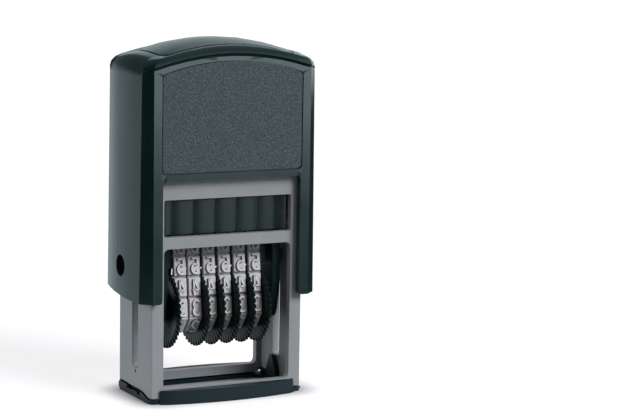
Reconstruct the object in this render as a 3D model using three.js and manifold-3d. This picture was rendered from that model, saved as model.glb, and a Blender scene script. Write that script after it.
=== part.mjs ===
// A self-inking numbering stamp with six number bands.
// Millimetres. X runs across the front, Y runs back and Z runs up. The stamp stands on Z = 0
// with its front towards -Y and the origin under its middle.

import * as THREE from "three";
import { mergeVertices } from "three/addons/utils/BufferGeometryUtils.js";
import Module from "manifold-3d";

const wasm = await Module();
wasm.setup();

// Driving dimensions of the print unit, measured from its axle
const printReach = 8.05;
const pressTravel = 17.5;
const wheelDrop = 8.95;
const discRadius = 7.6;
const discThickness = 0.5;
const bandWidth = 2.5;
const bandThickness = 1;
const bandWheelRadius = 5.1;
const noseHalfDepth = 3.2;
const noseRadius = 1.1;
const bandCount = 6;
const cellCount = 14;
const toothCount = 40;

// Driving dimensions of the grey inner frame
const frameDepth = 15.5;
const frameWall = 1.4;
const postWidth = 2.5;
const sillTop = 2.8;
const barHeight = 2.2;
const deckThickness = 1.2;
const parapetHeight = 3;

// Driving dimensions of the cap
const capWall = 1.4;
const capSideWall = 1.7;
const sideBulge = 0.7;
const crownRoom = 7.75;
const crownRadiusAcross = 43.5;
const crownRadiusDeep = 28;
const limbWidth = 3.55;
const limbLift = 1.8;

// Named clearances
const seatGap = 0.3;
const runningGap = 0.15;
const sideClearance = 0.1;
const plainBandGap = 0.4;
const inkGap = 0.3;
const capClearance = 0.4;
const windowRoom = 0.6;
const padGap = 0.3;
const overrun = 2;

// Places that follow from the driving dimensions
const axleHeight = printReach + pressTravel;
const discGap = discThickness + 2 * sideClearance;
const bandsWidth = bandCount * bandWidth + plainBandGap + (bandCount - 2) * discGap;
const rowShift = -0.2;
const bandsLeft = rowShift - bandsWidth / 2;
const cheekRoom = 1.3;
const cheekThickness = 1.6;
const cheekInner = bandsWidth / 2 + sideClearance + discThickness + cheekRoom;
const cheekOuter = cheekInner + cheekThickness;
const windowHalfWidth = cheekOuter + windowRoom;
const frameHalfWidth = windowHalfWidth + postWidth;
const frameHalfDepth = frameDepth / 2;
const padFace = axleHeight + printReach + inkGap;

// Corners of an outline, each [x, y, radius], turned into points with round stretches as arcs
function rounded(corners, steps = 4) {
  const points = [];
  corners.forEach(([x, y, radius = 0], index) => {
    const before = corners[(index + corners.length - 1) % corners.length];
    const after = corners[(index + 1) % corners.length];
    const corner = new THREE.Vector2(x, y);
    if (radius === 0) {
      points.push(corner);
      return;
    }
    const inward = new THREE.Vector2(before[0] - x, before[1] - y).normalize();
    const outward = new THREE.Vector2(after[0] - x, after[1] - y).normalize();
    const half = Math.acos(THREE.MathUtils.clamp(inward.dot(outward), -1, 1)) / 2;
    const centre = inward.clone().add(outward).normalize();
    centre.multiplyScalar(radius / Math.sin(half)).add(corner);
    const start = corner.clone().addScaledVector(inward, radius / Math.tan(half)).sub(centre);
    const sweep = (Math.PI - 2 * half) * Math.sign(inward.cross(outward)) * -1;
    for (let step = 0; step <= steps; step += 1) {
      const spoke = start.clone().rotateAround(new THREE.Vector2(), (sweep * step) / steps);
      points.push(centre.clone().add(spoke));
    }
  });
  return points;
}

function circlePoints(radius, count, x = 0, y = 0) {
  const points = [];
  for (let index = 0; index < count; index += 1) {
    const angle = (2 * Math.PI * (index + 1 / 2)) / count;
    points.push(new THREE.Vector2(x + radius * Math.cos(angle), y + radius * Math.sin(angle)));
  }
  return points;
}

function rectangle(halfWidth, low, high, radius = 0) {
  return rounded([
    [-halfWidth, low, radius],
    [halfWidth, low, radius],
    [halfWidth, high, radius],
    [-halfWidth, high, radius],
  ]);
}

function prism(points, depth, holes = []) {
  const shape = new THREE.Shape(points);
  shape.holes = holes.map((hole) => new THREE.Path(hole));
  return new THREE.ExtrudeGeometry(shape, { depth, bevelEnabled: false });
}

// Prisms whose outlines are drawn in YZ, XZ and XY
function alongX(points, from, to, holes) {
  const turn = new THREE.Matrix4().set(0, 0, 1, from, 1, 0, 0, 0, 0, 1, 0, 0, 0, 0, 0, 1);
  return prism(points, to - from, holes).applyMatrix4(turn);
}

function alongY(points, from, to, holes) {
  const turn = new THREE.Matrix4().set(1, 0, 0, 0, 0, 0, -1, to, 0, 1, 0, 0, 0, 0, 0, 1);
  return prism(points, to - from, holes).applyMatrix4(turn);
}

function alongZ(points, from, to, holes) {
  return prism(points, to - from, holes).translate(0, 0, from);
}

// A closed skin over rings of equal length, each a list of [x, y, z], fanned shut at both ends
// about the middle of the end ring or the height given for it
function loft(rings, hubHeights = []) {
  const count = rings[0].length;
  const positions = rings.flat(2);
  const indices = [];
  for (let ring = 0; ring + 1 < rings.length; ring += 1) {
    for (let index = 0; index < count; index += 1) {
      const next = (index + 1) % count;
      const low = ring * count;
      const high = low + count;
      indices.push(low + index, low + next, high + next);
      indices.push(low + index, high + next, high + index);
    }
  }
  [0, rings.length - 1].forEach((ring, end) => {
    const centre = [0, 1, 2].map((axis) => (
      rings[ring].reduce((sum, point) => sum + point[axis], 0) / count
    ));
    centre[2] = hubHeights[end] ?? centre[2];
    const hub = positions.length / 3;
    positions.push(...centre);
    for (let index = 0; index < count; index += 1) {
      const here = ring * count + index;
      const next = ring * count + ((index + 1) % count);
      indices.push(...(ring === 0 ? [hub, next, here] : [hub, here, next]));
    }
  });
  const geometry = new THREE.BufferGeometry();
  geometry.setAttribute("position", new THREE.Float32BufferAttribute(positions, 3));
  geometry.setIndex(indices);
  return geometry;
}

function toSolid(geometry) {
  const plain = geometry.clone();
  plain.deleteAttribute("normal");
  plain.deleteAttribute("uv");
  const merged = mergeVertices(plain, 1e-5);
  return new wasm.Manifold(new wasm.Mesh({
    numProp: 3,
    vertProperties: new Float32Array(merged.attributes.position.array),
    triVerts: new Uint32Array(merged.index.array),
  }));
}

function toGeometry(solid) {
  const mesh = solid.getMesh();
  const geometry = new THREE.BufferGeometry();
  geometry.setAttribute("position", new THREE.BufferAttribute(new Float32Array(mesh.vertProperties), 3));
  geometry.setIndex(new THREE.BufferAttribute(new Uint32Array(mesh.triVerts), 1));
  geometry.computeVertexNormals();
  return geometry;
}

function joined(...geometries) {
  const [first, ...rest] = geometries.map(toSolid);
  return toGeometry(rest.reduce((sum, solid) => sum.add(solid), first));
}

function cutFrom(base, ...tools) {
  return toGeometry(tools.map(toSolid).reduce((left, tool) => left.subtract(tool), toSolid(base)));
}

function bothSides(make) {
  return [-1, 1].map(make);
}

const finishes = {
  greyAbs: { color: "#8d8e93", roughness: 0.5 },
  capAbs: { color: "#232c2c", roughness: 0.3 },
  crownAbs: { color: "#2a3333", roughness: 0.28 },
  footAbs: { color: "#1e2727", roughness: 0.6 },
  wheelAbs: { color: "#26302f", roughness: 0.5 },
  cheekAbs: { color: "#202828", roughness: 0.4 },
  padAbs: { color: "#15191a", roughness: 0.35 },
  bandRubber: { color: "#cbc9cd", roughness: 0.6 },
  labelFoil: { color: "#4b5353", roughness: 0.7 },
  inkFelt: { color: "#1c2a55", roughness: 0.95 },
  steel: { color: "#b7babd", roughness: 0.3, metalness: 1 },
};

function piece(name, geometry, finish) {
  const mesh = new THREE.Mesh(geometry, new THREE.MeshStandardMaterial(finishes[finish]));
  mesh.name = name;
  return mesh;
}

// The closed path of a number band, seen from the side: a flat printing end with two small
// rounded corners above, the thumbwheel below, and straight sides that touch both
const noseCentre = new THREE.Vector2(noseHalfDepth - noseRadius, printReach - noseRadius);
const wheelCentre = new THREE.Vector2(0, -wheelDrop);
const centreLine = noseCentre.clone().sub(wheelCentre);
const sideSlope = Math.asin((bandWheelRadius - noseRadius) / centreLine.length())
  - Math.atan2(centreLine.x, centreLine.y);
const sideNormal = new THREE.Vector2(Math.cos(sideSlope), Math.sin(sideSlope));
const flatLength = noseCentre.x;
const noseArc = noseRadius * (Math.PI / 2 - sideSlope);
const sideLength = Math.sqrt(centreLine.lengthSq() - (bandWheelRadius - noseRadius) ** 2);
const wheelArc = bandWheelRadius * (Math.PI / 2 + sideSlope);
const halfLoop = flatLength + noseArc + sideLength + wheelArc;
const cellPitch = (2 * halfLoop) / cellCount;

// The point of the band's path at a distance round it from the middle of the printing end
function loopPoint(distance, inset) {
  const whole = ((distance % (2 * halfLoop)) + 2 * halfLoop) % (2 * halfLoop);
  if (whole > halfLoop) {
    const twin = loopPoint(2 * halfLoop - whole, inset);
    return new THREE.Vector2(-twin.x, twin.y);
  }
  let left = whole;
  if (left <= flatLength) return new THREE.Vector2(left, printReach - inset);
  left -= flatLength;
  if (left <= noseArc) {
    const angle = Math.PI / 2 - left / noseRadius;
    const spoke = new THREE.Vector2(Math.cos(angle), Math.sin(angle));
    return noseCentre.clone().addScaledVector(spoke, noseRadius - inset);
  }
  left -= noseArc;
  if (left <= sideLength) {
    const down = new THREE.Vector2(sideNormal.y, -sideNormal.x);
    const start = noseCentre.clone().addScaledVector(sideNormal, noseRadius - inset);
    return start.addScaledVector(down, left);
  }
  left -= sideLength;
  const angle = sideSlope - left / bandWheelRadius;
  const spoke = new THREE.Vector2(Math.cos(angle), Math.sin(angle));
  return wheelCentre.clone().addScaledVector(spoke, bandWheelRadius - inset);
}

// Number bands: rubber loops of raised cells with a groove between each two
const grooveDepth = 0.4;
const grooveHalfShare = 0.11;
const cellStopShares = [grooveHalfShare, 1 / 3, 1 / 2, 2 / 3, 1 - grooveHalfShare];

function numberBand() {
  const outer = [];
  for (let cell = 0; cell < cellCount; cell += 1) {
    const start = (cell - 1 / 2) * cellPitch;
    outer.push(loopPoint(start, grooveDepth));
    cellStopShares.forEach((share) => outer.push(loopPoint(start + share * cellPitch, 0)));
  }
  const inner = [];
  const innerStops = 3 * cellCount;
  for (let stop = 0; stop < innerStops; stop += 1) {
    inner.push(loopPoint((2 * halfLoop * stop) / innerStops, bandThickness));
  }
  return alongX(outer.reverse(), 0, bandWidth, [inner]);
}

// Thumbwheels: a drum inside the band and a knurled disc beside it. The first wheel has its disc
// on the left of its band, the others on the right.
const toothDepth = 0.5;
const toothCrestShares = [0.28, 0.72];
const drumRadius = bandWheelRadius - bandThickness - seatGap;
const axleRadius = 1.2;
const wheelBore = axleRadius + seatGap;

function discOutline() {
  const points = [];
  for (let tooth = 0; tooth < toothCount; tooth += 1) {
    const stops = [[0, discRadius - toothDepth], ...toothCrestShares.map((share) => [share, discRadius])];
    stops.forEach(([share, radius]) => {
      const angle = (2 * Math.PI * (tooth + share)) / toothCount;
      points.push(new THREE.Vector2(radius * Math.cos(angle), radius * Math.sin(angle)));
    });
  }
  return points;
}

// A wheel about its own axis, from X = 0 at the outer face of its disc
function thumbwheel(discSide) {
  const width = discThickness + bandWidth;
  const drum = alongX(circlePoints(drumRadius, 24), 0, width);
  const disc = discSide < 0
    ? alongX(discOutline(), 0, discThickness)
    : alongX(discOutline(), width - discThickness, width);
  const bore = alongX(circlePoints(wheelBore, 16), -overrun, width + overrun);
  return cutFrom(joined(drum, disc), bore);
}

// Left edges of the six bands: no disc stands between the first two
const bandEdges = Array.from({ length: bandCount }, (unused, index) => (
  bandsLeft + index * bandWidth + (index > 0 ? plainBandGap : 0) + Math.max(index - 1, 0) * discGap
));

// Cheeks that carry the wheel axle and turn on journals in the cap
const cheekHalfDepth = 4.7;
const cheekShoulder = 4.5;
const cheekTopHeight = 6.4;
const cheekTopHalfDepth = 4.2;
const cheekFootHalfDepth = 3.1;
const cheekFootDrop = wheelDrop + cheekFootHalfDepth;
const cheekTopRadius = 1.5;
const cheekFootRadius = 2.6;
const journalRadius = 1.25;
const journalEndGap = 1;
const hubRadius = 2.4;
const hubStart = cheekInner - cheekRoom + seatGap - rowShift;

function cheek(side) {
  const outline = rounded([
    [-cheekFootHalfDepth, -cheekFootDrop, cheekFootRadius],
    [cheekFootHalfDepth, -cheekFootDrop, cheekFootRadius],
    [cheekHalfDepth, -cheekShoulder, cheekTopRadius],
    [cheekHalfDepth, 0, cheekTopRadius],
    [cheekTopHalfDepth, cheekTopHeight, cheekTopRadius],
    [-cheekTopHalfDepth, cheekTopHeight, cheekTopRadius],
    [-cheekHalfDepth, 0, cheekTopRadius],
    [-cheekHalfDepth, -cheekShoulder, cheekTopRadius],
  ]);
  const reach = cheekOuter - runningGap;
  const plate = alongX(outline, cheekInner, cheekOuter);
  const hub = alongX(circlePoints(hubRadius, 20, 0, -wheelDrop), hubStart, cheekOuter);
  const journal = alongX(circlePoints(journalRadius, 20), cheekInner, capHalfWidth - journalEndGap);
  const bore = alongX(circlePoints(axleRadius + runningGap, 16, 0, -wheelDrop), 0, reach);
  const dimple = alongX(
    circlePoints(journalRadius / 2, 12),
    capHalfWidth - 2 * journalEndGap,
    capHalfWidth,
  );
  const right = cutFrom(joined(plate, hub, journal), bore, dimple);
  return side > 0 ? right : right.applyMatrix4(new THREE.Matrix4().makeRotationZ(Math.PI));
}

// The bridge between the cheeks, over which the printing ends of the bands run
function printBridge() {
  const inset = bandThickness + seatGap;
  const sideLine = noseCentre.dot(sideNormal) + noseRadius - inset;
  const halfDepthAt = (height) => (sideLine - sideNormal.y * height) / sideNormal.x;
  const top = printReach - inset;
  const bottom = discRadius - wheelDrop + seatGap + runningGap;
  const topRadius = noseRadius / 2;
  return alongX(rounded([
    [-halfDepthAt(bottom), bottom],
    [halfDepthAt(bottom), bottom],
    [halfDepthAt(top), top, topRadius],
    [-halfDepthAt(top), top, topRadius],
  ]), seatGap - cheekInner, cheekInner - seatGap);
}

// The ink pad: a cartridge with fluted ends and a felt that faces down
const padHeight = 4.3;
const apronDrop = 2.1;
const apronThickness = 1.4;
const padRimHeight = 0.3;
const padHalfWidth = windowHalfWidth - windowRoom;
const padRecess = 1;
const padHalfDepth = frameHalfDepth - padRecess;
const padTop = padFace + padHeight;
const padApronBottom = padFace - apronDrop;
const fluteCount = 5;
const fluteDepth = 0.6;
const fluteSteps = 6;
const endRibWidth = 1.5;
const endRibFlat = 0.5;
const flutePitch = (2 * (padHalfWidth - endRibWidth)) / fluteCount;
const feltHeight = 2.9;
const feltBack = 0.8;
const padRim = 1.1;
const feltHalfWidth = padHalfWidth - padRim - seatGap;
const feltHalfDepth = padHalfDepth - apronThickness - feltBack;

// One end of the cartridge's plan outline, from right to left: rounded flutes side by side, with
// a narrower rib at each end of the row
function flutedEnd(end) {
  const points = [];
  const add = (across, depth) => {
    points.push(new THREE.Vector2(across * end, end * (padHalfDepth - depth)));
  };
  add(-padHalfWidth, 0);
  add(endRibFlat - padHalfWidth, 0);
  for (let flute = 0; flute < fluteCount; flute += 1) {
    for (let step = flute === 0 ? 0 : 1; step <= fluteSteps; step += 1) {
      const share = step / fluteSteps;
      add(
        (flute + share - fluteCount / 2) * flutePitch,
        fluteDepth * (2 * share - 1) ** 2,
      );
    }
  }
  add(padHalfWidth - endRibFlat, 0);
  add(padHalfWidth, 0);
  return points;
}

function padCartridge() {
  const plan = [...flutedEnd(1).reverse(), ...flutedEnd(-1).reverse()];
  const tray = alongZ(plan, padFace + padRimHeight, padTop);
  const apronBack = apronThickness - padHalfDepth;
  const apronPlan = [
    ...flutedEnd(-1),
    new THREE.Vector2(-padHalfWidth, apronBack),
    new THREE.Vector2(padHalfWidth, apronBack),
  ];
  const apron = alongZ(apronPlan.reverse(), padApronBottom, padTop);
  const well = alongZ(
    rectangle(padHalfWidth - padRim, -feltHalfDepth - seatGap, feltHalfDepth + seatGap, padRim / 2),
    padFace - overrun,
    padFace + feltHeight + seatGap,
  );
  return cutFrom(joined(tray, apron), well);
}

function inkFelt() {
  const outline = rectangle(feltHalfWidth, -feltHalfDepth, feltHalfDepth);
  return alongZ(outline, padFace, padFace + feltHeight);
}

// The black foot: a ring with bowed bars, side flanges, and a tongue up inside each side wall
const footLip = 0.8;
const footProud = 0.2;
const footBow = 1.65;
const footBarOverlap = 0.95;
const footStepOut = 0.85;
const footBarHeight = 2.6;
const footBarLean = 0.3;
const footHalfWidth = frameHalfWidth + footProud;
const footHalfDepth = frameHalfDepth + footProud;
const footBowHalfWidth = windowHalfWidth + footBarOverlap;
const footEndWidth = 1.3;
const footEndDepth = 0.35;
const footOpeningHalfWidth = windowHalfWidth - runningGap;
const footOpeningHalfDepth = 6.2;
const footCornerRadius = 1.1;
const flangeWidth = 1.2;
const flangeHeight = 1.6;
const notchDepth = 0.9;
const tongueThickness = 0.8;
const tongueHalfWidth = 1.9;
const tongueHeight = 5.8;
const tongueTipHalfWidth = 0.5;
const bowSteps = 10;

// The top of a side flange from front to back: shares of the frame's half depth, each with the
// share of the way from the lip up to the flange's full height
const flangeShares = [
  [-0.97, 0],
  [-0.84, 0],
  [-0.7, 0.33],
  [-0.54, 0.8],
  [-0.35, 1],
  [0.3, 1],
  [0.47, 1.15],
  [0.9, 1.15],
  [0.97, 0.9],
];
const flangeStations = flangeShares.map(([depthShare, heightShare]) => [
  depthShare * frameHalfDepth,
  footLip + heightShare * (flangeHeight - footLip),
]);

// The notches in the outside of each flange, from front to back, open above: shares of the
// frame's half depth, each pair with its floor's share of the way up to the flange's full height
const notchShares = [
  [-0.37, -0.19, 0],
  [-0.19, 0.12, 0.5],
  [0.12, 0.45, 0.3],
];

// Half of a bowed outline in plan: a bar on one end of the foot, its ends drawn in
function bowedBar(end, halfWidth, near, far) {
  const bowed = halfWidth - footEndWidth;
  const points = [[-halfWidth, far - footEndDepth]];
  for (let step = 0; step <= bowSteps; step += 1) {
    const across = ((2 * step) / bowSteps - 1) * bowed;
    points.push([across, far + footBow * (1 - (across / halfWidth) ** 2)]);
  }
  points.push([halfWidth, far - footEndDepth]);
  points.push([halfWidth, near], [-halfWidth, near]);
  return points.map(([x, y]) => (end > 0 ? [-x, y] : [x, -y]));
}

function flangeOutline(rise, bottom) {
  const top = flangeStations.map(([y, height]) => new THREE.Vector2(y, height + rise)).reverse();
  const front = flangeStations[0][0];
  const back = flangeStations[flangeStations.length - 1][0];
  return [new THREE.Vector2(front, bottom), new THREE.Vector2(back, bottom), ...top];
}

function footFrame() {
  const ring = alongZ(
    rounded([
      [-footHalfWidth, -footHalfDepth, footCornerRadius],
      [footHalfWidth, -footHalfDepth, footCornerRadius],
      [footHalfWidth, footHalfDepth, footCornerRadius],
      [-footHalfWidth, footHalfDepth, footCornerRadius],
    ]),
    0,
    footLip,
  );
  const far = footHalfDepth + footStepOut;
  const solids = [ring];
  bothSides((end) => {
    const base = bowedBar(end, footBowHalfWidth, footOpeningHalfDepth, far);
    solids.push(alongZ(base.map(([x, y]) => new THREE.Vector2(x, y)), 0, footLip));
    const near = frameHalfDepth + seatGap;
    const barHalfWidth = footBowHalfWidth - runningGap;
    const low = bowedBar(end, barHalfWidth, near, far);
    const high = bowedBar(end, barHalfWidth, near, far - footBarLean);
    const rings = [
      low.map(([x, y]) => [x, y, footLip / 2]),
      low.map(([x, y]) => [x, y, footLip]),
      high.map(([x, y]) => [x, y, footBarHeight]),
    ];
    solids.push(loft(rings));
  });
  bothSides((side) => {
    const inner = footHalfWidth - flangeWidth;
    const span = side > 0 ? [inner, footHalfWidth] : [-footHalfWidth, -inner];
    solids.push(alongX(flangeOutline(0, footLip / 2), ...span));
    const back = frameHalfWidth - frameWall - seatGap;
    const reach = side > 0 ? [back - tongueThickness, back] : [-back, tongueThickness - back];
    solids.push(alongX(rounded([
      [-tongueHalfWidth, footLip / 2],
      [tongueHalfWidth, footLip / 2],
      [tongueHalfWidth, tongueHeight / 2, tongueHalfWidth / 2],
      [tongueTipHalfWidth, tongueHeight, tongueTipHalfWidth / 2],
      [-tongueTipHalfWidth, tongueHeight, tongueTipHalfWidth / 2],
      [-tongueHalfWidth, tongueHeight / 2, tongueHalfWidth / 2],
    ]), ...reach));
  });
  const opening = alongZ(
    rectangle(footOpeningHalfWidth, -footOpeningHalfDepth, footOpeningHalfDepth, footCornerRadius),
    -overrun,
    footLip + overrun / 4,
  );
  const notches = bothSides((side) => notchShares.map(([frontShare, backShare, floorShare]) => {
    const front = frontShare * frameHalfDepth;
    const back = backShare * frameHalfDepth;
    const floor = footLip + floorShare * (flangeHeight - footLip);
    const outline = [
      new THREE.Vector2(front, floor),
      new THREE.Vector2(back, floor),
      new THREE.Vector2(back, flangeHeight + overrun),
      new THREE.Vector2(front, flangeHeight + overrun),
    ];
    const inner = footHalfWidth - notchDepth;
    const span = side > 0 ? [inner, footHalfWidth + overrun] : [-footHalfWidth - overrun, -inner];
    return alongX(outline, ...span);
  })).flat();
  return cutFrom(joined(...solids), opening, ...notches);
}

// The grey inner frame: a tall tube with windows at the front and back, a deck above the ink
// pad, ledges that the pad slides on and a slot in each side for the journals
const frameCorner = 0.4;
const frameBottom = footLip + seatGap;
const padWindowBottom = padApronBottom - padGap;
const padWindowTop = padTop + padGap;
const windowTop = padWindowBottom - barHeight;
const windowRadius = 1;
const padWindowRadius = 0.4;
const deckBottom = padWindowTop + seatGap;
const deckTop = deckBottom + deckThickness;
const frameTop = deckTop + parapetHeight;
const ledgeWidth = 2.1;
const ledgeThickness = 0.8;
const slotHalfWidth = journalRadius + runningGap;
const slotTop = axleHeight + journalRadius + windowRoom;
const slotRunOut = 1.1;
const slotBottom = axleHeight - pressTravel - journalRadius - slotRunOut;
const slotRadius = 0.5;
const gaugeHoleRadius = 0.35;
const gaugeHoleDrop = 0.7;
const gaugeHoleForward = 0.3;
const spigotRadius = 2.6;
const spigotHeight = 2.4;

function innerFrame() {
  const innerHalfWidth = frameHalfWidth - frameWall;
  const innerHalfDepth = frameHalfDepth - frameWall;
  const plan = rectangle(frameHalfWidth, -frameHalfDepth, frameHalfDepth, frameCorner);
  const hollow = rectangle(innerHalfWidth, -innerHalfDepth, innerHalfDepth);
  const through = frameHalfDepth + overrun;
  const across = frameHalfWidth + overrun;
  const shell = cutFrom(
    alongZ(plan, frameBottom, frameTop),
    alongZ(hollow, -overrun, deckBottom),
    alongZ(hollow, deckTop, frameTop + overrun),
    alongY(rectangle(windowHalfWidth, sillTop, windowTop, windowRadius), -through, through),
    alongY(rectangle(windowHalfWidth, padWindowBottom, padWindowTop, padWindowRadius), -through, through),
    alongX(rectangle(slotHalfWidth, slotBottom, slotTop, slotRadius), -across, across),
    alongX(
      circlePoints(gaugeHoleRadius, 8, -gaugeHoleForward, slotBottom - gaugeHoleDrop),
      -across,
      across,
    ),
    alongX(flangeOutline(seatGap, -overrun), -across, -innerHalfWidth + overrun / 4),
    alongX(flangeOutline(seatGap, -overrun), innerHalfWidth - overrun / 4, across),
  );
  const ledgeTop = padFace;
  const ledges = bothSides((side) => {
    const inner = innerHalfWidth - ledgeWidth;
    const outer = frameHalfWidth - frameWall / 2;
    const span = side > 0 ? [inner, outer] : [-outer, -inner];
    const front = apronThickness + seatGap - padHalfDepth;
    const outline = [
      new THREE.Vector2(front, ledgeTop - ledgeThickness),
      new THREE.Vector2(innerHalfDepth, ledgeTop - ledgeThickness),
      new THREE.Vector2(innerHalfDepth, ledgeTop),
      new THREE.Vector2(front, ledgeTop),
    ];
    return alongX(outline, ...span);
  });
  const spigot = alongZ(circlePoints(spigotRadius, 20), deckBottom, deckTop + spigotHeight);
  return joined(shell, ...ledges, spigot);
}

// The cap: bulged sides, cut corners, a domed crown and four limbs that straddle the frame
const capHalfDepth = frameHalfDepth + capClearance + capWall;
const creaseHalfWidth = frameHalfWidth + capClearance + capSideWall;
const capHalfWidth = creaseHalfWidth + sideBulge;
const cornerCutWidth = 1.65;
const cornerCutDepth = 1.8;
const capDraft = 0.35;
const capFrontHalfWidth = creaseHalfWidth - cornerCutWidth;
const creaseHalfDepth = capHalfDepth - cornerCutDepth;
const rimHalfWidth = 14.9;
const rimHalfDepth = 8;
const browRise = 1.4;
const browRadius = 51.5;
const browProud = 0.25;
const browEnd = 0.4;
const browFadeShare = 0.15;
const grooveUnderBrow = 0.6;
const grooveSink = 0.25;
const shoulderRise = 3.4;
const capCrest = frameTop + pressTravel + crownRoom;
const panelOverlap = 0.8;
const panelBottom = frameTop - panelOverlap;
const limbBottom = pressTravel + limbLift;
const backLimbRise = 1.6;
const cutoutRadius = 0.8;
const limbRadius = 0.6;
const cutoutHalfWidth = creaseHalfWidth - limbWidth;
const crownThickness = 1.2;
const crownSeam = 0.2;
const roofThickness = 1.25;
const recessDepth = crownThickness + seatGap;
const ceilingDrop = recessDepth + roofThickness;
const springSeatRadius = 5.2;
const springSeatDrop = 0.7;
const roofSpigotLength = 1.8;
const frontSteps = 10;
const sideSteps = 8;
const roundSteps = 4;

function domeHeight(x, y, crest) {
  return crest - (x * x) / (2 * crownRadiusAcross) - (y * y) / (2 * crownRadiusDeep);
}

// The cap's plan outline, counter-clockwise from the front left. The brow runs across the front
// and the back and fades over the cut corners. Each point has the way that the brow stands out
// there, which is nothing along the sides, and its share of the sides' draft.
function capPlan() {
  const half = [];
  const add = (x, y, brow, draft) => half.push({ x, y, brow, draft });
  const corner = new THREE.Vector2(cornerCutDepth, cornerCutWidth).setLength(browFadeShare);
  for (let step = 0; step <= frontSteps; step += 1) {
    const x = ((2 * step) / frontSteps - 1) * capFrontHalfWidth;
    add(x, -capHalfDepth, new THREE.Vector2(0, -1), 0);
  }
  add(creaseHalfWidth, -creaseHalfDepth, new THREE.Vector2(corner.x, -corner.y), 1);
  for (let step = 0; step <= sideSteps; step += 1) {
    const along = ((2 * step) / sideSteps - 1) * (1 - browEnd / creaseHalfDepth);
    const bulge = sideBulge * (1 - along * along);
    add(creaseHalfWidth + bulge, along * creaseHalfDepth, new THREE.Vector2(), 1);
  }
  add(creaseHalfWidth, creaseHalfDepth, corner, 1);
  const turned = half.map(({ x, y, brow, draft }) => (
    { x: -x, y: -y, brow: brow.clone().negate(), draft }
  ));
  return [...half, ...turned];
}

function capOuter() {
  const bottomHeight = (y) => limbBottom + backLimbRise * ((1 + y / capHalfDepth) / 2) ** 1.5;
  const plan = capPlan().map((point) => {
    const rimX = (point.x * rimHalfWidth) / capHalfWidth;
    const rimY = (point.y * rimHalfDepth) / capHalfDepth;
    const crown = domeHeight(rimX, rimY, capCrest);
    const browHeight = domeHeight(0, rimHalfDepth, capCrest) - browRise;
    const edge = point.brow.length() > 0
      ? browHeight - (point.x * point.x) / (2 * browRadius)
      : crown - shoulderRise;
    return { ...point, rimX, rimY, crown, edge };
  });
  const level = (proud, drop) => plan.map(({ x, y, brow, edge }) => (
    [x + proud * brow.x, y + proud * brow.y, edge - drop]
  ));
  const rings = [
    plan.map(({ x, y, draft }) => [x + Math.sign(x) * capDraft * draft, y, bottomHeight(y)]),
    level(0, grooveUnderBrow),
    level(-grooveSink, grooveUnderBrow / 2),
    level(browProud, 0),
  ];
  for (let step = 1; step <= roundSteps; step += 1) {
    const angle = (Math.PI * step) / (2 * roundSteps);
    const inward = 1 - Math.cos(angle);
    rings.push(plan.map(({ x, y, brow, rimX, rimY, crown, edge }) => [
      THREE.MathUtils.lerp(x + browProud * brow.x, rimX, inward),
      THREE.MathUtils.lerp(y + browProud * brow.y, rimY, inward),
      THREE.MathUtils.lerp(edge, crown, Math.sin(angle)),
    ]));
  }
  [2 / 3, 1 / 3].forEach((share) => {
    rings.push(plan.map(({ rimX, rimY }) => [
      rimX * share,
      rimY * share,
      domeHeight(rimX * share, rimY * share, capCrest),
    ]));
  });
  return loft(rings, [null, capCrest]);
}

// A solid between two depths under the dome, over the crown's outline drawn in by an inset
function underDome(inset, topDrop, bottomDrop, edge = 0) {
  const plan = capPlan().map(({ x, y }) => {
    const rimX = (x * rimHalfWidth) / capHalfWidth;
    const rimY = (y * rimHalfDepth) / capHalfDepth;
    return [
      rimX * (1 - inset / rimHalfWidth),
      rimY * (1 - inset / rimHalfDepth),
    ];
  });
  const level = (share, drop) => plan.map(([x, y]) => [
    x * share,
    y * share,
    domeHeight(x * share, y * share, capCrest) - drop,
  ]);
  const edgeShare = 1 - edge / rimHalfDepth;
  const rings = [level(1 / 3, bottomDrop), level(2 / 3, bottomDrop), level(1, bottomDrop)];
  rings.push(level(1, topDrop + edge));
  if (edge > 0) rings.push(level(edgeShare, topDrop));
  rings.push(level(2 / 3, topDrop), level(1 / 3, topDrop));
  return loft(rings, [capCrest - bottomDrop, capCrest - topDrop]);
}

function crownCover() {
  return underDome(2 * crownSeam, 0, crownThickness, crownSeam);
}

// The hollow of the cap, up to a ceiling parallel to the crown
function capHollow() {
  const halfWidth = frameHalfWidth + capClearance;
  const halfDepth = frameHalfDepth + capClearance;
  const corner = capClearance + frameCorner / 2;
  const plan = [];
  const outline = rectangle(halfWidth, -halfDepth, halfDepth, corner);
  const splits = 6;
  outline.forEach((point, index) => {
    const next = outline[(index + 1) % outline.length];
    const parts = point.distanceTo(next) > halfDepth ? splits : 1;
    for (let part = 0; part < parts; part += 1) {
      plan.push(point.clone().lerp(next, part / parts));
    }
  });
  const crest = capCrest - ceilingDrop;
  const ceiling = (share) => plan.map(({ x, y }) => [
    x * share,
    y * share,
    domeHeight(x * share, y * share, crest),
  ]);
  const floor = plan.map(({ x, y }) => [x, y, -overrun]);
  return loft([floor, ceiling(1), ceiling(2 / 3), ceiling(1 / 3)], [null, crest]);
}

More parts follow.
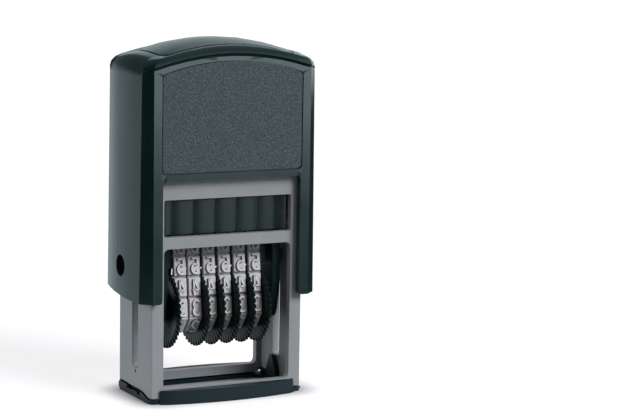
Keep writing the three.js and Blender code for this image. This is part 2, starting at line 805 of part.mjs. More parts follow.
// The opening between the limbs, with rounded corners above and the limbs' feet rounded below
function limbCutout() {
  const points = [];
  const arcSteps = 3;
  for (let step = 0; step <= arcSteps; step += 1) {
    const angle = (Math.PI * step) / (2 * arcSteps);
    points.push(new THREE.Vector2(
      cutoutHalfWidth + limbRadius * (1 - Math.sin(angle)),
      limbBottom + limbRadius * (1 - Math.cos(angle)),
    ));
  }
  const upper = rounded([
    [cutoutHalfWidth, panelBottom, cutoutRadius],
    [-cutoutHalfWidth, panelBottom, cutoutRadius],
    [-cutoutHalfWidth, limbBottom],
    [cutoutHalfWidth, limbBottom],
  ]).slice(0, -2);
  const mirrored = points.map(({ x, y }) => new THREE.Vector2(-x, y)).reverse();
  const low = limbBottom - overrun;
  const foot = cutoutHalfWidth + limbRadius;
  return [
    new THREE.Vector2(-foot, low),
    new THREE.Vector2(foot, low),
    ...points,
    ...upper,
    ...mirrored,
  ];
}

// The panel's label plate and its shallow recess
const labelHalfWidth = 14.5;
const labelRecess = 0.55;
const labelThickness = 0.35;
const labelMarginTop = 1.35;
const labelMarginBottom = 1.3;
const labelRadius = 0.9;
const labelSeam = 0.15;
const labelSteps = 10;

function labelOutline(inset) {
  const halfWidth = labelHalfWidth - inset;
  const bottom = panelBottom + labelMarginBottom + inset;
  const top = (x) => domeHeight(x, rimHalfDepth, capCrest) - browRise - labelMarginTop - inset;
  const corners = [[-halfWidth, bottom, labelRadius], [halfWidth, bottom, labelRadius]];
  corners.push([halfWidth, top(halfWidth), labelRadius]);
  for (let step = 1; step < labelSteps; step += 1) {
    const x = halfWidth * (1 - (2 * step) / labelSteps);
    corners.push([x, top(x)]);
  }
  corners.push([-halfWidth, top(halfWidth), labelRadius]);
  return rounded(corners);
}

function labelPlate() {
  const back = labelRecess - runningGap - capHalfDepth;
  return alongY(labelOutline(labelSeam), back - labelThickness, back);
}

const counterboreRadius = 2.05;
const counterboreDepth = 1;

function capShell() {
  const through = capHalfDepth + overrun;
  const across = capHalfWidth + overrun;
  const bore = circlePoints(journalRadius + seatGap, 20, 0, axleHeight);
  const counterbore = circlePoints(counterboreRadius, 24, 0, axleHeight);
  const shell = cutFrom(
    capOuter(),
    capHollow(),
    alongY(limbCutout(), -through, through),
    underDome(crownSeam, -overrun, recessDepth),
    alongY(labelOutline(0), -through, labelRecess - capHalfDepth),
    alongX(bore, -across, across),
    alongX(counterbore, capHalfWidth - counterboreDepth, across),
    alongX(counterbore, -across, counterboreDepth - capHalfWidth),
  );
  const ceiling = capCrest - ceilingDrop;
  const seat = alongZ(
    circlePoints(springSeatRadius, 24),
    ceiling - springSeatDrop,
    ceiling + roofThickness / 2,
  );
  const spigot = alongZ(
    circlePoints(spigotRadius, 20),
    ceiling - springSeatDrop - roofSpigotLength,
    ceiling,
  );
  return joined(shell, seat, spigot);
}

// The return spring between the frame's deck and the cap's roof: one unbroken tube, whose ends
// run on straight for the width of the wire
const springWire = 0.9;
const springMeanRadius = 3.9;
const springTurns = 6;
const stepsPerTurn = 8;
const wireSides = 5;
const closedTurnShare = 0.5;

function springPath() {
  const low = deckTop + seatGap + springWire / 2;
  const high = capCrest - ceilingDrop - springSeatDrop - seatGap - springWire / 2;
  const steps = springTurns * stepsPerTurn;
  const closed = closedTurnShare / springTurns;
  const path = [];
  for (let step = 0; step <= steps; step += 1) {
    const share = step / steps;
    const angle = 2 * Math.PI * springTurns * share;
    const climb = (share + THREE.MathUtils.smoothstep(share, closed / 2, 1 - closed / 2)) / 2;
    path.push({ angle, height: low + (high - low) * climb, ahead: 0 });
  }
  const last = path[path.length - 1];
  return [{ ...path[0], ahead: -springWire }, ...path, { ...last, ahead: springWire }];
}

// The point of a wire's skin beside its path: turn runs round the wire, from the outside up
function springPoint({ angle, height, ahead }, reach, turn) {
  const radius = springMeanRadius + reach * Math.cos(turn);
  return new THREE.Vector3(
    radius * Math.cos(angle) - ahead * Math.sin(angle),
    radius * Math.sin(angle) + ahead * Math.cos(angle),
    height + reach * Math.sin(turn),
  );
}

function returnSpring() {
  const path = springPath();
  const rings = path.map((station) => {
    const ring = [];
    for (let side = 0; side < wireSides; side += 1) {
      const point = springPoint(station, springWire / 2, (-2 * Math.PI * side) / wireSides);
      ring.push(point.toArray());
    }
    return ring;
  });
  const centres = path.map((station) => springPoint(station, 0, 0));
  let least = Infinity;
  centres.forEach((centre, index) => {
    centres.slice(index + stepsPerTurn / 2).forEach((other) => {
      least = Math.min(least, centre.distanceTo(other) - springWire);
    });
  });
  console.log(`the spring's least gap to itself is ${least.toFixed(2)} mm`);
  return loft(rings);
}

// Assembly: the frame stands still, the cap slides on it, and the print unit turns in the cap
const stamp = new THREE.Group();

const frameGroup = new THREE.Group();
frameGroup.add(piece("inner_frame", innerFrame(), "greyAbs"));
frameGroup.add(piece("foot_frame", footFrame(), "footAbs"));
frameGroup.add(piece("return_spring", returnSpring(), "steel"));

const padGroup = new THREE.Group();
padGroup.add(piece("pad_cartridge", padCartridge(), "padAbs"));
padGroup.add(piece("ink_felt", inkFelt(), "inkFelt"));

const capGroup = new THREE.Group();
capGroup.add(piece("cap_shell", capShell(), "capAbs"));
capGroup.add(piece("crown_cover", crownCover(), "crownAbs"));
capGroup.add(piece("label_plate", labelPlate(), "labelFoil"));

const unitGroup = new THREE.Group();
unitGroup.position.z = axleHeight;
unitGroup.add(piece("left_cheek", cheek(-1), "cheekAbs"));
unitGroup.add(piece("right_cheek", cheek(1), "cheekAbs"));
unitGroup.add(piece("print_bridge", printBridge(), "cheekAbs"));
const pinEnd = cheekOuter - 2 * runningGap;
const pin = piece("wheel_axle", alongX(circlePoints(axleRadius, 16), -pinEnd, pinEnd), "steel");
pin.position.z = -wheelDrop;
unitGroup.add(pin);

bandEdges.forEach((edge, index) => {
  const band = piece(`number_band_${index + 1}`, numberBand(), "bandRubber");
  band.position.x = edge;
  unitGroup.add(band);
  const discSide = index === 0 ? -1 : 1;
  const wheel = piece(`thumbwheel_${index + 1}`, thumbwheel(discSide), "wheelAbs");
  const shift = discSide < 0 ? -sideClearance - discThickness : sideClearance;
  wheel.position.set(edge + shift, 0, -wheelDrop);
  unitGroup.add(wheel);
});

stamp.add(frameGroup, padGroup, capGroup, unitGroup);

export default stamp;
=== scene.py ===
# %% [markdown]
# A self-inking numbering stamp stands on its foot. A grey frame holds an ink pad behind its upper
# window, and a black cap slides down over the frame. The cap carries the print unit, six rubber
# bands on toothed thumbwheels, which turns half round on its way from the pad to the paper.
#
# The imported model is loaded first. Every piece made here goes where its solids say, in metres,
# and rides on one of its bodies.
# %% Load the frame
import math

import bmesh
import bpy
from mathutils import Matrix, Vector


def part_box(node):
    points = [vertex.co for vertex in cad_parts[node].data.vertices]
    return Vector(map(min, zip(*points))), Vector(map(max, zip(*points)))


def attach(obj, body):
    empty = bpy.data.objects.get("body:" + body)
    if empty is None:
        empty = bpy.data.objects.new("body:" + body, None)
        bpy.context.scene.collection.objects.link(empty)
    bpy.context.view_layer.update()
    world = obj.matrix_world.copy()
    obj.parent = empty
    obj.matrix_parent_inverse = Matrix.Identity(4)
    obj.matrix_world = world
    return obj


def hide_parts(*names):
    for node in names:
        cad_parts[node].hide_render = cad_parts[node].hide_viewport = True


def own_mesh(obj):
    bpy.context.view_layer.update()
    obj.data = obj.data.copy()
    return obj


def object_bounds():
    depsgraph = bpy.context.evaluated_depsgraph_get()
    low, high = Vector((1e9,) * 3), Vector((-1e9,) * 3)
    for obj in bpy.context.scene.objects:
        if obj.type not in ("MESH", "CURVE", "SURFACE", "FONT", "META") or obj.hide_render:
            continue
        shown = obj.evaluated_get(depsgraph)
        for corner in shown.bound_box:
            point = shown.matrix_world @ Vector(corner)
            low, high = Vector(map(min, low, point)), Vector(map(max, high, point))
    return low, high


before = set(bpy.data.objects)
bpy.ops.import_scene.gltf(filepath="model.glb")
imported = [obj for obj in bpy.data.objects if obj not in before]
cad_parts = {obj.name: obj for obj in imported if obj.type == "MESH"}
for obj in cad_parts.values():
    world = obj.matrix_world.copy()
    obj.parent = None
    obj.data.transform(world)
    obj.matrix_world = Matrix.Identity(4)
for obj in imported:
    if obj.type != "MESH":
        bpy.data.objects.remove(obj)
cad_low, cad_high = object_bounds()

MM = 0.001
print("size in mm:", [round(size / MM, 1) for size in cad_high - cad_low])

# %% [markdown]
# Small helpers come next. Colours are written as designers write them, in sRGB hex, and Blender
# works in linear light, so one function turns one into the other. One more adds a node to a tree
# with its settings and its links, which keeps every material short enough to read.
# %% Colours and nodes


def linear(hex_code):
    """An sRGB hex colour as the linear RGBA that Blender's sockets hold."""
    shares = [int(hex_code[at:at + 2], 16) / 255 for at in (1, 3, 5)]
    return [s / 12.92 if s <= 0.04045 else ((s + 0.055) / 1.055) ** 2.4 for s in shares] + [1]


def add(tree, kind, inputs=(), **settings):
    """A new node. Its inputs, by name or in order, are values, sockets or other nodes."""
    node = tree.nodes.new(kind)
    for name, value in settings.items():
        setattr(node, name, value)
    for name, value in inputs.items() if isinstance(inputs, dict) else enumerate(inputs):
        if isinstance(value, bpy.types.Node):
            value = value.outputs[0]
        if isinstance(value, bpy.types.NodeSocket):
            tree.links.new(value, node.inputs[name])
        else:
            node.inputs[name].default_value = value
    return node


# The three kinds that the trees use most
MATH, VECTOR_MATH, COMBINE = "ShaderNodeMath", "ShaderNodeVectorMath", "ShaderNodeCombineXYZ"


def new_material(name):
    """An empty material and its tree."""
    material = bpy.data.materials.new(name)
    material.use_nodes = True
    material.node_tree.nodes.clear()
    return material, material.node_tree


def set_ramp(node, stops):
    """Fills a Color Ramp node with (position, hex colour) stops."""
    elements = node.color_ramp.elements
    while len(elements) < len(stops):
        elements.new(0.5)
    for element, (position, hex_code) in zip(elements, stops):
        element.position = position
        element.color = linear(hex_code)


print("grey #8d8e93 in linear light:", [round(value, 3) for value in linear("#8d8e93")[:3]])

# %% [markdown]
# Most of the stamp is injection-moulded ABS. Plastic of one batch is one colour, but its surface
# never is one finish: a polished mould leaves faint waves, a spark-eroded one leaves a grain of a
# few hundredths of a millimetre, and hands leave patches that are a little duller. So one recipe
# builds all the mouldings, with the gloss and the grain as its arguments. A grain that fine falls
# between the pixels, so each one is drawn as coarse as it needs to show.
# %% Moulded plastics
PATCH_MM = 9
PATCH_LOW, PATCH_HIGH = 0.3, 0.7  # between these the noise changes most


def moulded_plastic(name, low_hex, high_hex, roughness, spread, grain_mm, depth_mm, specular=0.5):
    """ABS from a mould: cloudy colour, patchy gloss, and the mould's grain as bump."""
    material, tree = new_material(name)
    place = add(tree, "ShaderNodeTexCoord").outputs["Object"]
    clouds = add(tree, "ShaderNodeTexNoise", {
        "Vector": place, "Scale": 1 / (PATCH_MM * MM), "Detail": 3, "Roughness": 0.5,
    })
    grain = add(tree, "ShaderNodeTexNoise", {
        "Vector": place, "Scale": 1 / (grain_mm * MM), "Detail": 2, "Roughness": 0.6,
    })
    colour = add(tree, "ShaderNodeValToRGB", [clouds])
    set_ramp(colour, [(PATCH_LOW, low_hex), (PATCH_HIGH, high_hex)])
    gloss = add(tree, "ShaderNodeMapRange", {
        "Value": clouds, "From Min": PATCH_LOW, "From Max": PATCH_HIGH,
        "To Min": roughness - spread, "To Max": roughness + spread,
    })
    bump = add(tree, "ShaderNodeBump", {"Height": grain, "Distance": depth_mm * MM})
    shader = add(tree, "ShaderNodeBsdfPrincipled", {
        "Base Color": colour, "Roughness": gloss, "Normal": bump, "IOR": 1.53,
        "Specular IOR Level": specular,
    })
    add(tree, "ShaderNodeOutputMaterial", {"Surface": shader})
    return material


# ABS, polished mould: lights lie on the green-black as clear shapes, which long faint waves stir
CAP_ABS = moulded_plastic("abs_polished_black", "#061b1a", "#081f1e", 0.2, 0.03, 1.4, 0.004)
# ABS, mould polished a little less: the same lights with softer edges
CROWN_ABS = moulded_plastic("abs_polished_crown", "#0c1b1b", "#0f2221", 0.24, 0.03, 1.4, 0.004)
# ABS, finely eroded mould: an even satin grey. The real grain of 0.05 mm is drawn at 0.35 mm
FRAME_ABS = moulded_plastic(
    "abs_satin_grey", "#85898d", "#8d9195", 0.42, 0.05, 0.35, 0.006, specular=0.35)
# ABS, coarsely eroded mould: a sandy black that hides scratches, its 0.1 mm drawn at 0.4 mm
FOOT_ABS = moulded_plastic(
    "abs_grained_black", "#04171a", "#071e22", 0.5, 0.06, 0.4, 0.04, specular=0.3)
# ABS, plain mould: a quiet black for small parts, which keeps the teeth from glittering
WHEEL_ABS = moulded_plastic(
    "abs_wheel_black", "#071716", "#0b1f1e", 0.4, 0.06, 0.3, 0.01, specular=0.16)
# ABS, plain mould: half gloss, so that each flute of the pad carries one soft stripe of light
PAD_ABS = moulded_plastic("abs_pad_black", "#071616", "#0b1f1e", 0.42, 0.04, 0.8, 0.005)
print("mouldings:", [m.name for m in bpy.data.materials if m.name.startswith("abs_")])

# %% [markdown]
# The sunk plate on the cap's front is where a label goes. It is bare, with a coarse grain like
# cast foil that sparkles a little. The rubber of the bands is pale and dull, with dust in its
# surface, and the felt is wool, soaked with blue ink. All of these are dull and differ in their
# specks, so one recipe makes them: a noise that gives both the colour and the bump. The pin and
# the spring are drawn steel wire.
# %% Label, rubber, felt and steel


def grained(name, stops, grain_mm, depth_mm, noise, surface):
    """A dull surface: one noise gives the specks their colour and makes them stand out."""
    material, tree = new_material(name)
    grain = add(tree, "ShaderNodeTexNoise", {
        "Vector": add(tree, "ShaderNodeTexCoord").outputs["Object"],
        "Scale": 1 / (grain_mm * MM), **noise,
    })
    colour = add(tree, "ShaderNodeValToRGB", [grain])
    set_ramp(colour, stops)
    bump = add(tree, "ShaderNodeBump", {"Height": grain, "Distance": depth_mm * MM})
    shader = add(tree, "ShaderNodeBsdfPrincipled", {
        "Base Color": colour, "Normal": bump, **surface,
    })
    add(tree, "ShaderNodeOutputMaterial", {"Surface": shader})
    return material


# Cast foil: dark grey with light and dark specks. They are 0.2 mm on foil, and drawn at 0.35 mm
LABEL_FOIL = grained(
    "foil_grained_grey", [(0.34, "#1e2a2d"), (0.5, "#333f42"), (0.66, "#505c5f")], 0.35, 0.05,
    {"Detail": 3, "Roughness": 0.7}, {"Roughness": 0.55, "IOR": 1.5},
)
# Moulded rubber: chalky and without highlights. Its dust is too fine to see, so it is drawn as
# clouds of 0.5 mm. The type is a shade lighter, a painted light on its raised faces, and painted
# shade darkens the rest: the flanks of the type most, the web between the cells less.
RUBBER = 0.5, 0.02, {"Detail": 4, "Roughness": 0.65}, {"Roughness": 0.6, "IOR": 1.52}
BAND_RUBBER, PAINTED_LIGHT_TYPE_RUBBER, PAINTED_SHADE_FLANK_RUBBER, PAINTED_SHADE_WEB_RUBBER = [
    grained(name, [(0.3, low_hex), (0.6, high_hex)], *RUBBER) for name, low_hex, high_hex in (
        ("rubber_moulded_pale", "#b6b5b9", "#c5c3c7"),
        ("rubber_digits_painted_light", "#bebcc0", "#cecccf"),
        ("rubber_flanks_painted_shade", "#565a5e", "#707478"),
        ("rubber_web_painted_shade", "#808286", "#98999e"),
    )
]
# Wool felt, soaked: a deep blue without any shine. Fibres of 0.03 mm are drawn as 0.3 mm tufts
INK_FELT = grained(
    "wool_felt_inked", [(0.3, "#101c4a"), (0.7, "#1f3272")], 0.3, 0.12,
    {"Detail": 5, "Roughness": 0.75, "Distortion": 1.5}, {"Roughness": 0.9, "Sheen Weight": 0.2},
)
# Steel, drawn through a die: bright, with patches about 0.6 mm long where the die left it duller
STEEL, tree = new_material("steel_drawn_wire")
streaks = add(tree, "ShaderNodeTexNoise", {
    "Vector": add(tree, "ShaderNodeTexCoord").outputs["Object"],
    "Scale": 1 / (0.6 * MM), "Detail": 3, "Roughness": 0.6,
})
shader = add(tree, "ShaderNodeBsdfPrincipled", {
    "Base Color": linear("#b9bcbf"), "Metallic": 1,
    "Roughness": add(tree, "ShaderNodeMapRange", {"Value": streaks, "To Min": 0.2, "To Max": 0.4}),
})
add(tree, "ShaderNodeOutputMaterial", {"Surface": shader})
print("materials so far:", len(bpy.data.materials))

# %% [markdown]
# A moulding's edges are never sharp, and the thin lines of light along them say how big it is.
# The solids have sharp edges, so most pieces start as a copy of a solid: its loose triangles are
# merged, flat faces are joined again, and a Bevel modifier rounds the edges. A Weighted Normal
# modifier then keeps the flat faces flat. The result is made a plain mesh, so that nothing is
# left to be worked out.
# %% Rounded copies of the solids
ROUND_ABOVE = math.radians(40)
SMOOTH_BELOW = math.radians(35)
FLAT_BELOW = math.radians(0.4)
MERGE_BELOW = 0.0005 * MM
EDGE_STEPS = 2


def new_object(name, mesh):
    made = bpy.data.objects.new(name, mesh)
    bpy.context.collection.objects.link(made)
    return made


def plain_mesh(source, name):
    """The object's mesh with its modifiers worked in, as a new object at the origin."""
    depsgraph = bpy.context.evaluated_depsgraph_get()
    mesh = bpy.data.meshes.new_from_object(
        source.evaluated_get(depsgraph), preserve_all_data_layers=True, depsgraph=depsgraph,
    )
    mesh.name = name
    bpy.data.objects.remove(source)
    return new_object(name, mesh)


def round_edges(source, name, width_mm):
    """Joins flat faces, rounds the sharp edges and shades the rest smooth."""
    work = bmesh.new()
    work.from_mesh(source.data)
    bmesh.ops.remove_doubles(work, verts=work.verts, dist=MERGE_BELOW)
    bmesh.ops.dissolve_limit(work, angle_limit=FLAT_BELOW, verts=work.verts, edges=work.edges)
    # A face that runs round an opening would be filled in, so it is cut into plain ones
    bmesh.ops.connect_verts_concave(work, faces=work.faces)
    work.to_mesh(source.data)
    work.free()
    bevel = source.modifiers.new("Edges", "BEVEL")
    bevel.width = width_mm * MM
    bevel.segments = EDGE_STEPS
    bevel.limit_method = "ANGLE"
    bevel.angle_limit = ROUND_ABOVE
    bevel.miter_outer = "MITER_ARC"
    source = plain_mesh(source, name + "_bevelled")
    source.data.shade_smooth()
    source.data.set_sharp_from_angle(angle=SMOOTH_BELOW)
    source.modifiers.new("Flat faces", "WEIGHTED_NORMAL").keep_sharp = True
    return plain_mesh(source, name)


def copy_of(node, name):
    """A CAD node's mesh as a new object, without its material and its own shading."""
    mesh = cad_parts[node].data.copy()
    mesh.materials.clear()
    if "custom_normal" in mesh.attributes:
        mesh.attributes.remove(mesh.attributes["custom_normal"])
    return new_object(name, mesh)


def dress(piece, material, body, node):
    """Gives a finished piece its material, its body and the solid it stands for."""
    if material:
        piece.data.materials.clear()
        piece.data.materials.append(material)
    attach(piece, body)
    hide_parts(node)


ROUNDED = [
    # solid, piece, edge in mm, material, body, slot
    ("inner_frame", "grey_frame", 0.2, FRAME_ABS, "frame", "grey_abs"),
    ("foot_frame", "black_foot", 0.14, FOOT_ABS, "frame", "foot_abs"),
    ("left_cheek", "cheek_left", 0.2, WHEEL_ABS, "print_unit", "wheel_abs"),
    ("right_cheek", "cheek_right", 0.2, WHEEL_ABS, "print_unit", "wheel_abs"),
    ("print_bridge", "bridge", 0.2, WHEEL_ABS, "print_unit", "wheel_abs"),
    ("wheel_axle", "axle_pin", 0.15, STEEL, "print_unit", "spring_steel"),
    ("pad_cartridge", "pad_tray", 0.15, PAD_ABS, "pad", "pad_abs"),
    ("ink_felt", "pad_felt", 0.3, INK_FELT, "pad", "felt"),
    ("label_plate", "bare_label", 0.08, LABEL_FOIL, "cap", "label_foil"),
    ("crown_cover", "crown", 0.15, CROWN_ABS, "cap", "crown_abs"),
    ("cap_shell", "cap", 0.12, CAP_ABS, "cap", "cap_abs"),
]
for node, name, width_mm, material, body, slot in ROUNDED:
    piece = round_edges(copy_of(node, name + "_solid"), name, width_mm)
    dress(piece, material, body, node)
    print(f"{name}: {len(piece.data.polygons)} faces")

# %% [markdown]
# Each number band is a closed rubber loop. It runs over a bridge at the printing end and round a
# wheel at the other, and carries fourteen raised cells, ten of them with a digit cut in mirror
# writing, so that it prints the right way round. It could be sculpted cell by cell, but a band is
# a rule: a flat strip with cells at an even pitch, bent round a path. So it is made the way a
# belt maker draws it, flat first, and Geometry Nodes bend it.
#
# The path comes first: flat over the bridge, two tight corners, straight sides, and the wheel.
# %% The path of a band
# All in mm, for the face of the band's cells, which lies on the path
REACH = 8.05  # from the print unit's axis up to the printing end
WHEEL_DROP = 8.95  # from the print unit's axis down to the wheels' axle
NOSE_HALF_DEPTH = 3.2
NOSE_RADIUS = 1.1
WHEEL_RADIUS = 5.1
CELLS = 14

nose = Vector((NOSE_HALF_DEPTH - NOSE_RADIUS, REACH - NOSE_RADIUS))
hub = Vector((0, -WHEEL_DROP))
between = nose - hub
opening = WHEEL_RADIUS - NOSE_RADIUS
side_slope = math.asin(opening / between.length) - math.atan2(between.x, between.y)
STRETCHES = [
    nose.x,
    NOSE_RADIUS * (math.pi / 2 - side_slope),
    math.sqrt(between.length_squared - opening ** 2),
    WHEEL_RADIUS * (math.pi / 2 + side_slope),
]
HALF_LOOP = sum(STRETCHES)
CELL_PITCH = 2 * HALF_LOOP / CELLS


def band_point(distance):
    """The point of the path at a distance from the middle of the printing end, in mm."""
    if distance > HALF_LOOP:
        depth, height = band_point(2 * HALF_LOOP - distance)
        return -depth, height
    flat, corner, side, _ = STRETCHES
    if distance <= flat:
        return -distance, REACH
    if distance <= flat + corner:
        angle = math.pi / 2 - (distance - flat) / NOSE_RADIUS
        return -nose.x - NOSE_RADIUS * math.cos(angle), nose.y + NOSE_RADIUS * math.sin(angle)
    if distance <= flat + corner + side:
        down = distance - flat - corner
        across = nose.x + NOSE_RADIUS * math.cos(side_slope) + down * math.sin(side_slope)
        return -across, nose.y + NOSE_RADIUS * math.sin(side_slope) - down * math.cos(side_slope)
    angle = side_slope - (distance - flat - corner - side) / WHEEL_RADIUS
    return -WHEEL_RADIUS * math.cos(angle), hub.y + WHEEL_RADIUS * math.sin(angle)


PATH_STEPS = 16 * CELLS
BAND_PATH = [band_point(2 * HALF_LOOP * step / PATH_STEPS) for step in range(PATH_STEPS + 1)]
print(f"a band is {2 * HALF_LOOP:.2f} mm round, {CELL_PITCH:.2f} mm to a cell")

# %% [markdown]
# The digits are type, so they are drawn as strokes of one width, as an engraver cuts them. Each
# stroke is a line or part of an ellipse, and where two meet at a corner they are two strokes that
# overlap. They are laid out flat: across the band in X, and along it in Y.
# %% Ten digits as strokes


def line(x0, y0, x1, y1):
    return [(x0, y0), (x1, y1)]


def arc(x, y, across, up, start, end, steps=14):
    """Part of an ellipse about (x, y), between two angles in degrees."""
    turns = [math.radians(start + (end - start) * step / steps) for step in range(steps + 1)]
    return [(x + across * math.cos(turn), y + up * math.sin(turn)) for turn in turns]


SIX = [arc(0, -0.52, 0.62, 0.76, 0, 360), arc(0.75, -0.52, 1.37, 1.82, 180, 106)]
DIGITS = {
    "0": [arc(0, 0, 0.64, 1.28, 0, 360)],
    "1": [line(0.12, -1.28, 0.12, 1.28), line(0.12, 1.2, -0.5, 0.72)],
    "2": [arc(0, 0.62, 0.64, 0.66, 165, -38) + [(-0.62, -1.28)], line(-0.7, -1.28, 0.7, -1.28)],
    "3": [arc(0, 0.65, 0.58, 0.63, 150, -90), arc(0, -0.6, 0.66, 0.68, 90, -150)],
    "4": [
        line(0.34, -1.28, 0.34, 1.28), line(0.34, 1.28, -0.64, -0.5), line(-0.7, -0.5, 0.7, -0.5),
    ],
    "5": [
        line(-0.5, 1.28, 0.62, 1.28), line(-0.48, 1.28, -0.56, 0.1),
        arc(-0.02, -0.48, 0.66, 0.8, 132, -145),
    ],
    "6": SIX,
    "7": [line(-0.66, 1.28, 0.66, 1.28), line(0.6, 1.28, -0.22, -1.28)],
    "8": [arc(0, 0.66, 0.52, 0.62, 0, 360), arc(0, -0.6, 0.64, 0.68, 0, 360)],
    "9": [[(-x, -y) for x, y in stroke] for stroke in SIX],
}
# One digit to a cell, from the printing end down the front; a space is a bare cell
CELL_DIGITS = "876543210    9"
TYPE_STRETCH = 1.1
SEAM = 0.01  # mm that the path stays open at its start, because a curve needs two ends


def chain(work, points):
    """A row of vertices joined by edges, closed where it ends at its start."""
    closed = (Vector(points[0]) - Vector(points[-1])).length < SEAM * MM / 2
    corners = [work.verts.new(point) for point in (points[:-1] if closed else points)]
    following = corners[1:] + (corners[:1] if closed else [])
    for ends in zip(corners, following):
        work.edges.new(ends)
    return corners


def band_plan(axis_mm):
    """The band's path in its place, and its digits' strokes laid flat, as bare edges."""
    mesh = bpy.data.meshes.new("band_plan")
    work = bmesh.new()
    is_stroke = work.verts.layers.int.new("stroke")
    loop = [(0, depth * MM, (axis_mm + height) * MM) for depth, height in BAND_PATH[:-1]]
    chain(work, loop + [Vector(loop[0]) + Vector((0, SEAM * MM, 0))])
    for cell, digit in enumerate(CELL_DIGITS):
        for stroke in DIGITS.get(digit, []):
            # Mirror writing: X is turned round, and Y runs down the band
            points = [(-x * MM, (cell * CELL_PITCH - y * TYPE_STRETCH) * MM, 0) for x, y in stroke]
            for corner in chain(work, points):
                corner[is_stroke] = 1
    work.to_mesh(mesh)
    work.free()
    return mesh


print("strokes on a band:", sum(len(DIGITS.get(digit, [])) for digit in CELL_DIGITS))

# %% [markdown]
# A node tree is a recipe with named inputs. The modifier knows an input by its identifier, which
# is looked up from its name.
# %% Trees with named inputs


def new_tree(name, **inputs):
    """A Geometry Nodes tree with named inputs, listed by their kind, and those inputs."""
    tree = bpy.data.node_groups.new(name, "GeometryNodeTree")
    tree.is_modifier = True
    tree.interface.new_socket("Geometry", in_out="INPUT", socket_type="NodeSocketGeometry")
    for kind, labels in inputs.items():
        for label in labels.split(", "):
            tree.interface.new_socket(label, in_out="INPUT", socket_type="NodeSocket" + kind)
    tree.interface.new_socket("Geometry", in_out="OUTPUT", socket_type="NodeSocketGeometry")
    return tree, add(tree, "NodeGroupInput").outputs


def end_tree(tree, shape, coats):
    """Ends a tree; coats are its materials, each with the mark of its faces, None for all."""
    shape = add(tree, "GeometryNodeRealizeInstances", [shape])
    for material, mark in coats:
        inputs = {"Geometry": shape, "Material": material}
        if mark:
            inputs["Selection"] = add(
                tree, "GeometryNodeInputNamedAttribute", {"Name": mark}, data_type="BOOLEAN")
        shape = add(tree, "GeometryNodeSetMaterial", inputs)
    add(tree, "NodeGroupOutput", {"Geometry": shape})
    print(f"nodes in the tree {tree.name}: {len(tree.nodes)}")


def grown(mesh, tree, name, values):
    """The plain mesh that a tree makes of a mesh, with its sharp edges marked."""
    source = new_object(name + "_source", mesh)
    modifier = source.modifiers.new("Grow", "NODES")
    modifier.node_group = tree
    for label, value in values.items():
        modifier[tree.interface.items_tree[label].identifier] = value
    piece = plain_mesh(source, name)
    for slot in reversed(range(len(piece.data.materials))):
        if piece.data.materials[slot] is None:
            piece.data.materials.pop(index=slot)
    piece.data.shade_smooth()
    piece.data.set_sharp_from_angle(angle=SMOOTH_BELOW)
    return piece


def face_outwards(piece):
    """Turns a closed mesh's faces outwards."""
    work = bmesh.new()
    work.from_mesh(piece.data)
    bmesh.ops.recalc_face_normals(work, faces=work.faces)
    work.to_mesh(piece.data)
    work.free()


print("rounded pieces so far:", len(ROUNDED))

# %% [markdown]
# The band's tree works in the flat first. X runs across the band, Y along it, and Z stands for
# the height over the path, so that the rubber lies below zero. The strokes and the path come in
# as one mesh and are told apart by an attribute. The path's length, shared out over the cells,
# gives the pitch.
# %% The band's tree
tree, given = new_tree(
    "number_band", Int="Cells", Material="Rubber, Type, Flank, Web",
    Float="Shift, Left edge, Width, Belt top, Belt bottom, Cell gap, Cell top, Nib",
)
stroke = add(tree, "GeometryNodeInputNamedAttribute", {"Name": "stroke"}, data_type="INT")
drawn = add(tree, "GeometryNodeSeparateGeometry", {
    "Geometry": given["Geometry"], "Selection": stroke,
}, domain="POINT").outputs
path = add(tree, "GeometryNodeMeshToCurve", [drawn["Inverted"]])
length = add(tree, "GeometryNodeCurveLength", [path])
pitch = add(tree, MATH, [length, given["Cells"]], operation="DIVIDE")
half_width = add(tree, MATH, [given["Width"], 0.5], operation="MULTIPLY")
facing = add(tree, "ShaderNodeSeparateXYZ", [add(tree, "GeometryNodeInputNormal")]).outputs
ALONG = 0.5  # a face whose normal has more than this of an axis looks along it
print("inputs of the band's tree:", len(given) - 1)

# %% [markdown]
# The belt is the thin rubber that holds the cells together. A box as long as the path is cut
# across eight times to a cell, so that it can bend, and its two ends are taken off, because they
# will meet.
# %% The belt
CUTS_PER_CELL = 8
cuts = add(tree, MATH, [given["Cells"], CUTS_PER_CELL, 1], operation="MULTIPLY_ADD")
faces = [given["Belt top"], given["Belt bottom"]]
thickness = add(tree, MATH, faces, operation="SUBTRACT")
both = add(tree, MATH, faces, operation="ADD")
middle = add(tree, MATH, [both, 0.5], operation="MULTIPLY")
size = add(tree, COMBINE, [given["Width"], length, thickness])
box = add(tree, "GeometryNodeMeshCube", {"Size": size, "Vertices Y": cuts})
lengthwise = add(tree, MATH, [facing["Y"]], operation="ABSOLUTE")
is_end = add(tree, MATH, [lengthwise, ALONG], operation="GREATER_THAN")
sleeve = add(tree, "GeometryNodeDeleteGeometry", {
    "Geometry": box, "Selection": is_end,
}, domain="FACE")
half_length = add(tree, MATH, [length, 0.5], operation="MULTIPLY")
centre = add(tree, COMBINE, [half_width, half_length, middle])
laid = add(tree, "GeometryNodeTransform", {"Geometry": sleeve, "Translation": centre})
# The belt is marked as the web, whose darker rubber is painted shade between the cells
belt = add(tree, "GeometryNodeStoreNamedAttribute", {
    "Geometry": laid, "Name": "web", "Value": True,
}, data_type="BOOLEAN", domain="FACE")
print("cuts across the belt:", CUTS_PER_CELL * CELLS + 1)

